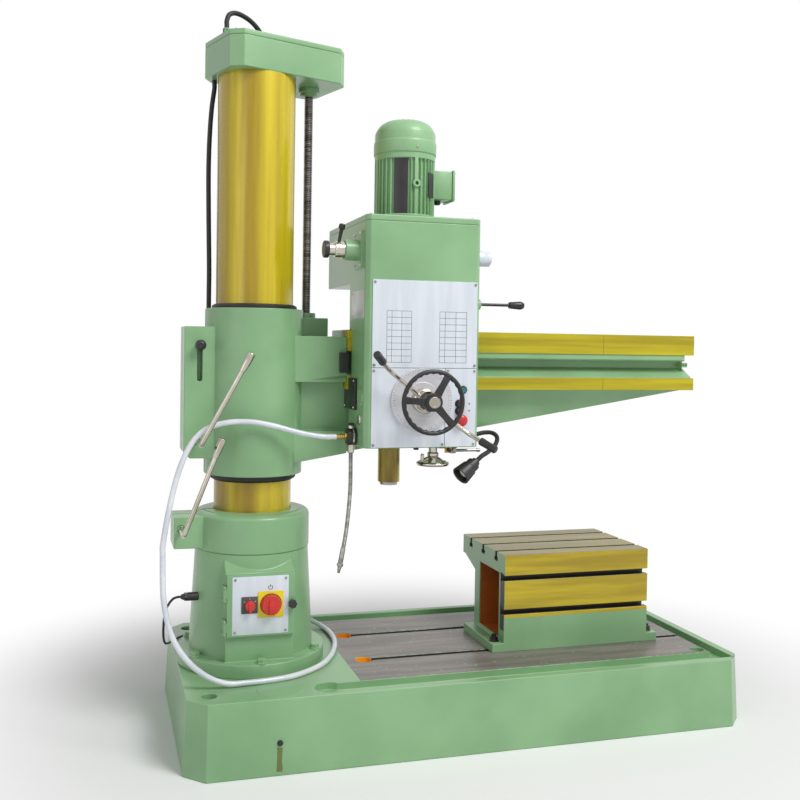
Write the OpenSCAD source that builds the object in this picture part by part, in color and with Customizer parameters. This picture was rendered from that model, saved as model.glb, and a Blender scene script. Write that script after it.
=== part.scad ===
// Radial arm drill: cast base, turning column, elevating arm, traversing drill head and a box table.
// Millimetres. The origin is on the floor under the column, +X along the arm, +Z up.

/* [Base casting] */
// Length of the base at its top
base_l = 1900; // [1500:10:2300]
// Width of the base at its top
base_w = 860; // [780:10:1100]
// Height of the base
base_h = 228; // [190:1:280]
// Left end of the base from the column axis
base_left = 248; // [240:1:400]
// Corner chamfer of the base
base_chamfer = 57; // [20:1:80]
// Draft of the sides from top to floor
base_draft = 11; // [4:1:20]
// Walls and ribs under the base
base_wall = 30; // [18:1:40]
// Top plate of the base
base_top_t = 75; // [60:1:90]
// Left edge of the machined platform
platform_x = 298; // [260:1:340]
// Width of the machined platform
platform_w = 668; // [560:2:700]
// Rim outside the coolant gutter
rim_w = 30; // [20:1:45]
// Gutter width at the right end
gutter_end_w = 45; // [30:1:70]
// Depth of the coolant gutter
gutter_d = 25; // [10:1:40]
// Start of the gutter, at its round pool
gutter_x = 190; // [150:1:260]
// Radius of the round pool
pool_r = 46; // [36:1:60]
// Distance between the two platform T-slots
slot_gap = 274; // [220:2:320]
// Start of the platform T-slots
slot_x = 364; // [340:1:420]
// Radius of the entry pockets
slot_pocket_r = 29; // [24:1:36]
// Platform T-slot width
slot_w = 22; // [16:1:24]
// Platform T-slot width at its foot
slot_foot_w = 38; // [30:1:44]
// Platform T-slot foot height
slot_foot_h = 16; // [10:1:20]
// Platform T-slot depth
slot_d = 42; // [34:1:50]
// Anchor hole radius
anchor_r = 13; // [9:0.5:16]
// Anchor counterbore radius
anchor_cap_r = 24; // [18:0.5:30]
// Anchor counterbore depth
anchor_cap_d = 30; // [10:1:40]
// Left anchor holes, left of the column axis
anchor_left = 180; // [150:1:185]
// Distance between the left anchor holes
anchor_left_gap = 714; // [660:2:740]
// Right anchor holes from the right end of the base
anchor_right = 105; // [92:1:172]
// Distance between the right anchor holes
anchor_right_gap = 598; // [480:2:610]

/* [Box table] */
// Left end of the table
table_x = 859; // [760:1:960]
// Length of the table
table_l = 563; // [480:1:620]
// Depth of the table top
table_w = 395; // [340:1:440]
// Height of the table
table_h = 338; // [300:1:400]
// Front face of the table, in front of the column axis
table_front = 174; // [160:1:200]
// Depth of the table body under the top
table_body_w = 273; // [250:1:300]
// Thickness of the top slab
table_slab_t = 70; // [60:1:80]
// Wall of the table body
table_wall = 48; // [45:1:60]
// Floor of the table body
table_floor_t = 40; // [30:1:60]
// Table T-slot width
table_slot_w = 18; // [14:1:20]
// Table T-slot width at its foot
table_slot_foot_w = 30; // [26:1:34]
// Table T-slot foot height
table_slot_foot_h = 13; // [10:1:15]
// Table T-slot depth
table_slot_d = 34; // [30:1:38]
// Length of the foot lugs at each end
table_lug_l = 42; // [40:1:60]
// Height of the foot lugs
table_lug_h = 30; // [20:1:40]
// Radius of the T-bolts
t_bolt_r = 10; // [8:0.5:10.5]

/* [Pedestal] */
// Radius of the foot flange
flange_r = 248; // [240:1:260]
// Thickness of the foot flange
flange_t = 45; // [30:1:55]
// Pedestal radius above the flange
pedestal_r = 209; // [205:1:220]
// Pedestal radius at its top
pedestal_top_r = 190; // [185:1:200]
// Height of the pedestal above the base
pedestal_h = 383; // [360:1:420]
// Wall of the pedestal
pedestal_wall = 40; // [25:1:45]
// Number of flange bolts
flange_bolts = 6; // [6:6:12]
// Flange bolt radius
flange_bolt_r = 10; // [8:0.5:12]
// Width of the electrical box
box_w = 222; // [200:1:236]
// Front face of the electrical box, in front of the column axis
box_front = 203; // [200:1:208]
// Electrical box height above the base
box_h = 327; // [318:1:335]
// Thickness of the cabinet door
door_t = 14; // [8:0.5:18]
// Height of the cabinet door
door_h = 198; // [180:1:210]
// Hinge pin radius of the door
door_pin_r = 3; // [2:0.5:4]
// Radius of the main switch knob
main_switch_r = 32; // [26:1:36]
// Radius of the coolant switch knob
coolant_switch_r = 16; // [12:1:20]
// Radius of the door latch knob
latch_r = 15; // [10:1:18]

/* [Column] */
// Radius of the column
column_r = 130; // [125:0.5:132]
// Wall of the column
column_wall = 25; // [20:0.5:27]
// Height of the top of the column
column_top = 2178; // [2120:1:2300]
// Radius of the fixed inner column
inner_r = 90; // [80:0.5:95]
// Bore of the inner column
inner_bore_r = 60; // [40:0.5:65]
// Height of the top of the inner column
inner_top = 1900; // [1700:1:1930]
// Radius of the clamp ring
clamp_r = 193; // [190:1:198]
// Height of the clamp ring
clamp_h = 122; // [115:1:140]
// Left end of the clamp ring lug
clamp_lug_x = 268; // [255:1:280]
// Radial running clearance of shafts in bores
run_fit = 0.05; // [0.02:0.01:0.1]
// Gap between faces that slide on each other
face_gap = 0.3; // [0.2:0.05:0.5]

/* [Column cap and elevating drive] */
// Angle of the cap about the column, behind the arm
cap_angle = 18; // [10:1:24]
// Left end of the cap from the column axis
cap_left = 149; // [140:1:170]
// Right end of the cap from the column axis
cap_right = 287; // [286:1:292]
// Width of the cap
cap_w = 260; // [250:2:280]
// Corner chamfer of the cap
cap_chamfer = 37; // [20:1:45]
// Height of the cap casting
cap_h = 102; // [90:1:120]
// Thickness of the cap lid
cap_lid_t = 18; // [10:1:25]
// Wall of the cap
cap_wall = 10; // [6:0.5:11]
// Radius of the lead screw
screw_r = 15; // [12:0.5:16]
// Lead screw from the column axis
screw_d = 201; // [198:0.5:202]
// Gear module of the elevating drive
lift_module = 2; // [1.5:0.5:2]
// Teeth on the elevating motor's gear
lift_drive_teeth = 84; // [70:2:84]
// Teeth on the lead screw's gear
lift_screw_teeth = 72; // [60:2:72]
// Radius of the elevating motor
lift_motor_r = 54; // [40:1:55]
// Length of the elevating motor
lift_motor_l = 200; // [150:1:210]
// Radius of the lead screw's upper bearing
screw_bearing_r = 36; // [28:1:40]

/* [Arm] */
// Bottom of the arm sleeve above the floor
sleeve_z = 856; // [845:1:900]
// Height of the arm sleeve
sleeve_h = 550; // [530:1:560]
// Radius of the arm sleeve
sleeve_r = 165; // [160:1:172]
// Left end of the sleeve's clamp lug
sleeve_lug_x = 240; // [230:1:270]
// Front of both clamp lugs
lug_front = 85; // [75:1:110]
// Back of both clamp lugs
lug_back = 60; // [40:1:80]
// Depth of the bores for the clamp levers' shafts
lever_bore_l = 60; // [50:1:62]
// Right end of the arm
arm_end = 1626; // [1500:1:1800]
// Drop from the sleeve top to the top of the arm
arm_drop = 64; // [55:1:70]
// Height of the upper rail
upper_rail_h = 72; // [60:1:80]
// Height of the recess between the rails
rail_recess_h = 85; // [84:1:95]
// Height of the lower rail
lower_rail_h = 44; // [36:1:50]
// Front face of the rails, in front of the column axis
rail_front = 130; // [126:1:134]
// Depth of the rails
rail_depth = 90; // [70:1:100]
// Left end of the rails
rail_x = 297; // [290:1:300]
// Front face of the arm's web, in front of the column axis
web_front = 70; // [60:1:80]
// Back face of the arm, behind the column axis
arm_back = 110; // [90:1:130]
// Arm root's underside above the sleeve bottom
root_rise = 20; // [10:1:40]
// Gear module of the traverse rack
traverse_module = 2.5; // [2:0.5:2.5]
// Teeth on the traverse pinion
traverse_teeth = 17; // [17:1:18]
// Length of the clamp levers
lever_l = 328; // [260:1:360]
// Radius of the clamp levers' rods
lever_rod_r = 8; // [6:0.5:9]
// Radius of the clamp levers' flared ends
lever_grip_r = 13; // [10:0.5:13]

/* [Drill head] */
// Left side of the head from the column axis
head_x = 308; // [305:1:330]
// Width of the head
head_w = 392; // [370:1:420]
// Front face of the head, in front of the column axis
head_front = 300; // [290:1:320]
// Back of the gearbox, behind the column axis
head_back = 218; // [180:1:240]
// Underside of the head above the floor
head_z = 960; // [950:1:970]
// Height of the head casting
head_h = 729; // [715:1:735]
// Gearbox overhang above the head's underside
overhang_h = 535; // [525:1:550]
// Thickness of the head lid
head_lid_t = 20; // [14:1:26]
// Chamfer of the head's front corners
head_chamfer = 14; // [6:1:20]
// Wall of the gearbox
gearbox_wall = 20; // [14:1:24]
// Thickness of the front plates
plate_t = 3; // [2:0.5:5]
// Spindle axis from the head's left side
quill_dx = 110; // [106:0.5:111]
// Spindle axis behind the head's front
quill_dy = 85; // [75:1:95]
// Radius of the quill
quill_r = 36; // [36:0.5:38]
// Radius of the spindle
spindle_r = 23; // [20:0.5:24]
// Bottom of the quill below the head
quill_drop = 117; // [90:1:140]
// Length of the quill
quill_l = 557; // [540:1:565]
// Stroke of the quill
quill_stroke = 200; // [150:5:210]
// Gear module of the quill rack
feed_module = 2.5; // [2.5:0.5:3]
// Teeth on the feed pinion
feed_teeth = 38; // [36:2:38]
// Feed hub above the head's underside
hub_dz = 155; // [150:1:160]
// Radius of the feed dial
dial_r = 104; // [90:1:106]
// Radius of the feed hub
hub_r = 40; // [34:1:46]
// Radius of the traverse handwheel
wheel_r = 104; // [90:1:112]
// Handwheel plane, in front of the head's front
wheel_dy = 120; // [115:1:130]
// Reach of the feed levers from the hub axis
feed_reach = 247; // [220:1:255]
// Radius of the fine feed handwheel
fine_wheel_r = 56; // [44:1:60]
// Radius of the motor cowl
cowl_r = 106; // [98:1:115]
// Height of the motor body
motor_h = 222; // [190:1:240]
// Height of the motor cowl
cowl_h = 118; // [90:1:140]
// Number of motor fins
fin_count = 30; // [20:2:40]
// Radius of the push buttons
button_r = 9; // [7:0.5:9.5]
// Radius of the emergency stop mushroom
stop_r = 19; // [14:0.5:20]

/* [Hoses and cables] */
// Radius of the coolant hose
hose_r = 9; // [7:0.5:10]
// Radius of the power cables
cable_r = 8; // [5:0.5:9]
// Radius of the coolant pump's cable
pump_cable_r = 4; // [3:0.5:5]
// Radius of the coolant gooseneck
goose_r = 7; // [5:0.5:8]
// Number of ribs on the coolant gooseneck
goose_ribs = 60; // [30:2:80]
// Radius of the lamp gooseneck
lamp_neck_r = 8; // [6:0.5:9]
// Number of ribs on the lamp gooseneck
lamp_ribs = 40; // [20:2:60]
// Radius of the lamp rim
lamp_r = 32; // [26:1:36]
// Length of the lamp shade
lamp_l = 84; // [70:1:95]

/* [Hidden] */
$fn = 64;

paint = [0.50, 0.66, 0.50];
oiled = [0.66, 0.56, 0.12];
steel = [0.72, 0.72, 0.72];
black = [0.08, 0.08, 0.08];
hose_white = [0.85, 0.85, 0.88];
eps = 1;
far = 4000;

// Base
base_right = base_l - base_left;
platform_end = base_right - rim_w - gutter_end_w;
gutter_out = base_w / 2 - rim_w;
pockets_x = 8;
pockets_y = 4;
pocket_px = (base_l - base_wall) / pockets_x;
pocket_py = (base_w - base_wall) / pockets_y;
anchors = [
    [-anchor_left, -anchor_left_gap / 2], [-anchor_left, anchor_left_gap / 2],
    [base_right - anchor_right, -anchor_right_gap / 2], [base_right - anchor_right, anchor_right_gap / 2]
];
table_end = table_x + table_l;
table_top = base_h + table_h;
t_bolt_y = -slot_gap / 2;

// Pedestal
flange_top = base_h + flange_t;
box_slope_d = 45;
box_slope_h = 35;
box_clear = 21;
pedestal_top = base_h + max(pedestal_h, box_h + box_slope_h + box_clear);
flange_bolt_pcd = flange_r - 19;
bolt_depth = 30;
box_x = -3;
box_left = box_x - box_w / 2;
box_right = box_x + box_w / 2;
door_z = base_h + box_h - door_h;
door_face = box_front + face_gap + door_t;
hinge_r = 2 * door_pin_r;
hinge_x = box_left - hinge_r / 1.5;
hinge_y = -door_face;
door_x = hinge_x + hinge_r + 1;
hinge_h = 30;
hinge_zs = [door_z + 0.15 * door_h, door_z + 0.7 * door_h];
switch_z = door_z + 0.51 * door_h;

// Column
clamp_z = pedestal_top + face_gap;
clamp_top = clamp_z + clamp_h;
column_bore_r = column_r - column_wall;
column_z = clamp_z - 50;
lift_clear = 50;
cap_z = max(column_top, inner_top + lift_clear + lift_motor_l);
cap_lid_z = cap_z + cap_h;
cap_top = cap_lid_z + cap_lid_t;
screw_x = screw_d * cos(cap_angle);
screw_y = screw_d * sin(cap_angle);
lift_pitch_d = lift_module * (lift_drive_teeth + lift_screw_teeth) / 2;
lift_motor_x = screw_d - lift_pitch_d;
gear_z = cap_z + cap_wall + 20;
screw_tail = 142;
gear_t = 22;

// Arm
sleeve_top = sleeve_z + sleeve_h;
arm_top = sleeve_top - arm_drop;
upper_rail_z = arm_top - upper_rail_h;
recess_z = upper_rail_z - rail_recess_h;
lower_rail_z = recess_z - lower_rail_h;
root_x = rail_x;
root_top = arm_top - 24;
root_front = web_front + 42;
root_z = sleeve_z + root_rise;
arm_body_end = arm_end - 10;
function taper_z(x) = root_z + (lower_rail_z - root_z) * x / arm_body_end;
lug_z = sleeve_z + 57;
lug_top = sleeve_top - 62;
arm_lever_plane = -sleeve_r - 63;
arm_lever = [-198, lug_z + 58];
arm_lever_tilt = 28.4;
column_lever_plane = -sleeve_r - 35;
column_lever = [-245, clamp_z + 72];
column_lever_tilt = 21.1;
lever_shaft_r = 12;
clamp_collar_h = 3;
knob_x = -190;
knob_z = lug_top - 61;
knob_travel = 110;
knob_stem_r = 8;
knob_slot_r = knob_stem_r + face_gap;
nut_top = sleeve_top - 6;
screw_z = arm_top - screw_tail;
traverse_r = traverse_module * traverse_teeth / 2;
rack_pitch_z = upper_rail_z - 20;
traverse_z = rack_pitch_z - traverse_r;
rack_teeth = floor((arm_body_end - rail_x - 40) / (PI * traverse_module));

// Head
head_end = head_x + head_w;
head_top = head_z + head_h;
lid_top = head_top + head_lid_t;
overhang_z = head_z + overhang_h;
quill_x = head_x + quill_dx;
quill_y = -head_front + quill_dy;
quill_z = head_z - quill_drop;
quill_top = quill_z + quill_l;
feed_r = feed_module * feed_teeth / 2;
rack_x = quill_r - feed_module - 1;
hub_x = quill_x + rack_x + feed_r;
hub_z = head_z + hub_dz;
feed_rack_w = 24;
panel_face = head_front + plate_t;
dial_face = panel_face + face_gap + 12;
hub_face = head_front + 72;
wheel_y = -head_front - wheel_dy;
wheel_shaft_r = 10;
lever_angle = 143;
fine_x = hub_x + 74;
fine_z = head_z - 61;
lock_x = head_end - 60;
lock_z = head_z - 19;
motor_x = head_x + 180;
motor_y = -head_front + 180;
motor_top = lid_top + motor_h;
motor_r = cowl_r - 14;
fin_r = cowl_r - 4;
fin_t = 3.2;
fin_foot = 17;
motor_flange_h = 18;
motor_shield_h = 14;
cowl_t = 3;
terminal_z = 78;
terminal_h = 98;
terminal_w = 90;
terminal_reach = 74;
plate_left = 22;
plate_right = 13;
plate_foot = 3;
plate_h = 541;
plate_gap = 2;
seam_dz = 104;
seam_dx = 82;
selector_y = -head_front + 83;
selector_z = head_top - 91;
speed_knob_y = -head_front + 50;
speed_knob_z = head_top - 104;
direction_y = -head_front + 50;
direction_z = head_z + 472;
ball_r = 11;
ball_x = head_end + 8;
ball_pin_r = 4;
ball_pin_l = 30;
start_xz = [head_x + 334, head_z + 189];
up_xz = [head_x + 319.5, head_z + 144];
down_xz = [head_x + 319.5, head_z + 120];
stop_xz = [head_x + 326, head_z + 90];
button_stem = 14;
valve_x = head_x - 15;
valve_y = -head_front + 105;
valve_z = head_z + 30;
valve_r = 29;
barb_x = valve_x - 50;
lamp_base = [head_end, -head_front + 182, head_z + 19];
pump = [30, 330];
pump_r = 46;
pump_foot_h = 10;
pump_neck_h = 80;
pump_h = pump_neck_h + 150;
pump_top_h = 17;
pump_end = [pump.x + 82, pump.y + 2, base_h + 60];
pump_entry = [pump.x - 52, pump.y + 1, base_h + 128];

// Routes of the hoses, cables and goosenecks, chosen by hand
function unit(v) = v / norm(v);

join_gap = 0.3;
lie_z = base_h + hose_r + 0.6;
valve_end = [barb_x - join_gap, valve_y, valve_z];
sleeve_join = [-205, -189, sleeve_z + 140];
sleeve_run = unit([-24, -3, -25]);
column_join = [-313, -240, pedestal_top + 19];
column_run = unit([0, -8, -60]);
hose_arm_route = [
    valve_end, valve_end - [14, 0, 0], valve_end - [34, 0, 0], [165, -196, 995], [105, -196, 1008],
    [40, -194, 1026], [-20, -191, 1038], [-70, -189, 1041], [-112, -187, 1038], [-148, -186, 1030],
    [-175, -186, 1019], sleeve_join - 12 * sleeve_run, sleeve_join - 6 * sleeve_run, sleeve_join
];
hose_column_route = [
    sleeve_join + join_gap * sleeve_run, sleeve_join + 6 * sleeve_run, sleeve_join + 12 * sleeve_run,
    [-232, -193, 960], [-248, -197, 928], [-263, -204, 890], [-279, -213, 836], [-294, -222, 770],
    [-306, -231, 706], column_join - 30 * column_run, column_join - 15 * column_run, column_join
];
hose_base_route = [
    column_join + join_gap * column_run, column_join + 24 * column_run, column_join + 48 * column_run,
    [-311, -256, 510], [-303, -268, 455], [-288, -282, 400], [-262, -294, 350], [-222, -306, 303],
    [-170, -310, 264], [-115, -306, 242], [-60, -298, lie_z + 0.4], [10, -292, lie_z], [86, -274, lie_z],
    [158, -230, lie_z], [222, -164, lie_z], [272, -70, lie_z], [306, 40, lie_z], [316, 150, lie_z],
    [300, 245, lie_z + 2.4], [250, 308, 256], [190, 330, 278], [150, 332, pump_end.z],
    pump_end + [16, 0, 0], pump_end + [join_gap, 0, 0]
];
column_cable_route = [
    [-137, 52, cap_z - join_gap], [-137, 52, cap_z - 14], [-137, 52, cap_z - 28], [-146, 48, 2080],
    [-152, 44, 1990], [-155, 40, 1880], [-154, 38, 1760], [-152, 36, 1640], [-150, 36, 1540],
    [-150, 36, sleeve_top + 60], [-150, 36, sleeve_top + 30], [-150, 36, sleeve_top + join_gap]
];
cap_gland = [-112, -62, cap_top + 22];
cap_entry = [14, 15, cap_top];
cap_cable_route = [
    cap_gland + [0, 0, join_gap], cap_gland + [0, 0, 12], cap_gland + [0, 0, 24], cap_gland + [8, 5, 46],
    cap_gland + [28, 17, 58], cap_gland + [56, 34, 58], cap_gland + [88, 54, 48], cap_entry + [-10, -7, 50],
    cap_entry + [0, 0, 32], cap_entry + [0, 0, 16], cap_entry + [0, 0, join_gap]
];
gland = [-242, -62, 456];
pump_cable_route = [
    gland - [join_gap, 0, 0], gland - [10, 0, 0], gland - [24, 0, 5], [-278, -60, 437], [-288, -54, 416],
    [-293, -40, 384], [-293, -12, 346], [-290, 32, 304], [-282, 88, 264], [-266, 152, 240],
    [-230, 220, base_h + pump_cable_r + 2], [-176, 278, base_h + pump_cable_r + 4], [-132, 310, 254],
    [-102, 326, 284], [-80, 331, 318], [-58, 331, 344], pump_entry - [16, 0, 1], pump_entry - [join_gap, 0, 0]
];
goose_start = [valve_x, valve_y, head_z - 25];
goose_route = [
    goose_start - [0, 0, join_gap], goose_start - [0, 0, 20], [293, -196, 895], [292, -200, 860],
    [290, -206, 820], [284, -214, 760], [276, -222, 700], [268, -228, 655], [262, -231, 627]
];
lamp_root = [716, -248, head_z - 52];
lamp_aim = unit([-92, -32, -64]);
lamp_route = [
    lamp_base + [12 + join_gap, 0, 0], lamp_base + [22, 0, 0], [736, -115, 979], [770, -104, 983],
    [808, -90, 988], [836, -90, 987], [845, -108, 979], [836, -140, 968], [812, -178, 953],
    [776, -212, 936],
    lamp_root - 28 * lamp_aim, lamp_root - 14 * lamp_aim, lamp_root - join_gap * lamp_aim
];

// Route helpers
function curve_point(a, b, c, d, t) =
    0.5 * (2 * b + (c - a) * t + (2 * a - 5 * b + 4 * c - d) * t * t + (3 * b - a - 3 * c + d) * t * t * t);

function smooth(p, steps) = [
    for (i = [0 : len(p) - 2]) for (k = [0 : steps - 1])
        curve_point(p[max(i - 1, 0)], p[i], p[i + 1], p[min(i + 2, len(p) - 1)], k / steps),
    p[len(p) - 1]
];

function tangent(p, i) = unit(p[min(i + 1, len(p) - 1)] - p[max(i - 1, 0)]);

function across(p, i, n) = let (t = tangent(p, i)) unit(n - t * (n * t));

function side_vectors(p, n) = [
    for (i = 0, s = across(p, 0, n); i < len(p); i = i + 1, s = across(p, min(i, len(p) - 1), s)) s
];

function along(p, share) =
    let (f = share * (len(p) - 1), i = min(floor(f), len(p) - 2)) p[i] + (p[i + 1] - p[i]) * (f - i);

function ring(centre, t, s, r, sides) = [
    for (k = [0 : sides - 1]) let (a = 360 * k / sides) centre + r * (cos(a) * s + sin(a) * cross(t, s))
];

function skin(rings, sides, first, inward) = [
    for (i = [0 : rings - 2]) for (k = [0 : sides - 1])
        let (
            a = first + i * sides + k, b = first + i * sides + (k + 1) % sides,
            c = a + sides, d = b + sides
        )
        each inward ? [[a, b, c], [b, d, c]] : [[a, c, b], [b, c, d]]
];

// Round tube along a route
module tube(route, r, sides = 10, steps = 2, hint = [0, 1, 0]) {
    p = smooth(route, steps);
    s = side_vectors(p, hint);
    points = [for (i = [0 : len(p) - 1]) each ring(p[i], tangent(p, i), s[i], r, sides)];
    last = (len(p) - 1) * sides;
    faces = concat(
        skin(len(p), sides, 0, false),
        [[for (k = [0 : sides - 1]) k]],
        [[for (k = [0 : sides - 1]) last + sides - 1 - k]]
    );
    polyhedron(points, faces);
}

// Hollow hose with raised ribs along a route
module ribbed_hose(route, r, bore_r, ribs, rib_d, hint = [0, 1, 0], sides = 8) {
    rough = smooth(route, 6);
    count = 2 * ribs + 1;
    p = [for (i = [0 : count - 1]) along(rough, i / (count - 1))];
    s = side_vectors(p, hint);
    inner = [for (i = [0 : 4 : count - 1]) i];
    points = concat(
        [for (i = [0 : count - 1]) each ring(p[i], tangent(p, i), s[i], r - (i % 2) * rib_d, sides)],
        [for (i = inner) each ring(p[i], tangent(p, i), s[i], bore_r, sides)]
    );
    start = count * sides;
    last = (count - 1) * sides;
    inner_last = start + (len(inner) - 1) * sides;
    faces = concat(
        skin(count, sides, 0, false),
        skin(len(inner), sides, start, true),
        [for (k = [0 : sides - 1]) let (n = (k + 1) % sides)
            each [[k, n, start + n], [k, start + n, start + k]]],
        [for (k = [0 : sides - 1]) let (n = (k + 1) % sides)
            each [[last + n, last + k, inner_last + n], [inner_last + n, last + k, inner_last + k]]]
    );
    polyhedron(points, faces);
}

// Points a shape made along +Z in a direction
module aim(from, direction) {
    d = unit(direction);
    translate(from) rotate([0, acos(d.z), atan2(d.y, d.x)]) children();
}

// Rod between two points
module rod(a, b, r) {
    aim(a, b - a) cylinder(r = r, h = norm(b - a));
}

// Cylinders and cones along +Z, cylinders along +X and +Y
module z_cylinder(z0, z1, r) {
    translate([0, 0, z0]) cylinder(r = r, h = z1 - z0);
}

module z_cone(z0, z1, r1, r2) {
    translate([0, 0, z0]) cylinder(r1 = r1, r2 = r2, h = z1 - z0);
}

module x_cylinder(x0, x1, y, z, r) {
    translate([x0, y, z]) rotate([0, 90, 0]) cylinder(r = r, h = x1 - x0);
}

module y_cylinder(y0, y1, x, z, r) {
    translate([x, y0, z]) rotate([-90, 0, 0]) cylinder(r = r, h = y1 - y0);
}

// Box from its lowest to its highest corner
module block(low, high) {
    translate(low) cube(high - low);
}

// Profile in X and Z drawn from y0 to y1
module y_extrude(y0, y1) {
    translate([0, y1, 0]) rotate([90, 0, 0]) linear_extrude(y1 - y0) children();
}

// Profile in Y and Z drawn from x0 to x1
module x_extrude(x0, x1) {
    translate([x0, 0, 0]) rotate([90, 0, 90]) linear_extrude(x1 - x0) children();
}

// Involute gear and rack outlines
pressure = 20;

function involute_turn(rb, r) = let (a = acos(rb / r)) tan(a) * 180 / PI - a;

function tooth_half(teeth, m, slack, r) =
    let (rp = m * teeth / 2, rb = rp * cos(pressure))
    90 / teeth - slack / (2 * rp) * 180 / PI + involute_turn(rb, rp) - involute_turn(rb, max(r, rb));

function gear_outline(teeth, m, slack) =
    let (rp = m * teeth / 2, radii = [rp - 1.25 * m, rp - 0.4 * m, rp + 0.3 * m, rp + m])
    [
        for (i = [0 : teeth - 1]) let (c = 360 * i / teeth) each concat(
            [for (r = radii) let (a = c - tooth_half(teeth, m, slack, r)) r * [cos(a), sin(a)]],
            [for (k = [3 : -1 : 0]) let (r = radii[k], a = c + tooth_half(teeth, m, slack, r))
                r * [cos(a), sin(a)]]
        )
    ];

function rack_outline(teeth, m, slack, back) =
    let (
        p = PI * m, low = -1.25 * m,
        foot = p / 4 - slack / 2 - low * tan(pressure), tip = p / 4 - slack / 2 - m * tan(pressure)
    )
    concat(
        [for (i = [0 : teeth - 1]) let (c = (i - (teeth - 1) / 2) * p)
            each [[c - foot, low], [c - tip, m], [c + tip, m], [c + foot, low]]],
        [[(teeth - 1) / 2 * p + foot, low - back], [-(teeth - 1) / 2 * p - foot, low - back]]
    );

gear_slack = 0.5;

module gear(teeth, m, h) {
    linear_extrude(h) polygon(gear_outline(teeth, m, gear_slack));
}

// T-slot cutter along +X, opening upwards at z = 0
module t_slot(l, w, foot_w, foot_h, d) {
    block([0, -w / 2, -d], [l, w / 2, eps]);
    block([0, -foot_w / 2, -d], [l, foot_w / 2, foot_h - d]);
}

// Cutter that leans a side of the base in towards its top
module draft_cut(turn, reach) {
    rotate([0, 0, turn])
        translate([reach, 0, 0])
            rotate([0, -atan(base_draft / base_h), 0])
                translate([0, -far, -far]) cube([far, 2 * far, 2 * far]);
}

module hex_head(r, h) {
    cylinder(r = r, h = h, $fn = 6);
}

// Base casting with gutter, T-slots, anchor holes and ribbed underside
module base_casting() {
    cx = (base_right - base_left) / 2;
    corner = (base_l + base_w) / 2 - base_chamfer;
    color(paint) difference() {
        translate([cx, 0, 0]) difference() {
            translate([-base_l / 2 - base_draft, -base_w / 2 - base_draft, 0])
                cube([base_l + 2 * base_draft, base_w + 2 * base_draft, base_h]);
            draft_cut(0, base_l / 2 + base_draft);
            draft_cut(90, base_w / 2 + base_draft);
            draft_cut(180, base_l / 2 + base_draft);
            draft_cut(270, base_w / 2 + base_draft);
            for (turn = [45 : 90 : 315])
                draft_cut(turn, corner / sqrt(2) + base_draft);
        }
        base_pockets();
        base_gutter();
        for (side = [-1, 1]) {
            translate([slot_x, side * slot_gap / 2, base_h])
                t_slot(platform_end - slot_x + eps, slot_w, slot_foot_w, slot_foot_h, slot_d);
            translate([slot_x, side * slot_gap / 2, base_h - slot_d])
                cylinder(r = slot_pocket_r, h = slot_d + eps);
        }
        for (p = anchors) {
            translate([p.x, p.y, -eps]) cylinder(r = anchor_r, h = base_h + 2 * eps);
            translate([p.x, p.y, base_h - anchor_cap_d]) cylinder(r = anchor_cap_r, h = anchor_cap_d + eps);
        }
        flange_bolt_holes();
    }
}

// Pockets between the ribs under the base, left solid round the anchor holes
module base_pockets() {
    difference() {
        for (i = [0 : pockets_x - 1]) for (k = [0 : pockets_y - 1])
            translate([-base_left + base_wall + i * pocket_px, -base_w / 2 + base_wall + k * pocket_py, -eps])
                cube([pocket_px - base_wall, pocket_py - base_wall, base_h - base_top_t + eps]);
        for (p = anchors)
            translate([p.x, p.y, -2 * eps]) cylinder(r = anchor_cap_r + 16, h = base_h);
    }
}

module base_gutter() {
    gutter_end = base_right - rim_w;
    for (side = [-1, 1]) {
        low = side < 0 ? -gutter_out : platform_w / 2;
        high = side < 0 ? -platform_w / 2 : gutter_out;
        block([gutter_x, low, base_h - gutter_d], [gutter_end, high, base_h + eps]);
        translate([gutter_x, (low + high) / 2, base_h - gutter_d]) cylinder(r = pool_r, h = gutter_d + eps);
    }
    block([platform_end, -gutter_out, base_h - gutter_d], [gutter_end, gutter_out, base_h + eps]);
}

// Box table with T-slots on its top and front and a tunnel through its body
module box_table() {
    y0 = -table_front;
    yb = y0 + table_body_w;
    y1 = y0 + table_w;
    slab_z = table_top - table_slab_t;
    color(oiled) difference() {
        union() {
            block([table_x, y0, slab_z], [table_end, y1, table_top]);
            block([table_x, y0, base_h], [table_end, yb, table_top]);
            x_extrude(table_x, table_end)
                polygon([[yb - eps, slab_z + eps], [y1 - 20, slab_z + eps], [yb - eps, slab_z - 40]]);
            for (x = [table_x - table_lug_l, table_end])
                block([x, y0, base_h], [x + table_lug_l, yb, base_h + table_lug_h]);
        }
        block(
            [table_x - table_lug_l - eps, y0 + table_wall, base_h + table_floor_t],
            [table_end + table_lug_l + eps, yb - table_wall, slab_z]
        );
        for (share = [0.2, 0.5, 0.8])
            translate([table_x - eps, y0 + share * table_w, table_top]) table_slot();
        for (share = [0.24, 0.59])
            translate([table_x - eps, y0, table_top - share * table_h]) rotate([90, 0, 0]) table_slot();
        for (x = table_bolt_xs)
            translate([x, t_bolt_y, base_h - eps]) cylinder(r = t_bolt_r + 1, h = table_lug_h + 2 * eps);
    }
}

module table_slot() {
    t_slot(table_l + 2 * eps, table_slot_w, table_slot_foot_w, table_slot_foot_h, table_slot_d);
}

table_bolt_xs = [table_x - table_lug_l / 2, table_end + table_lug_l / 2];

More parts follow.
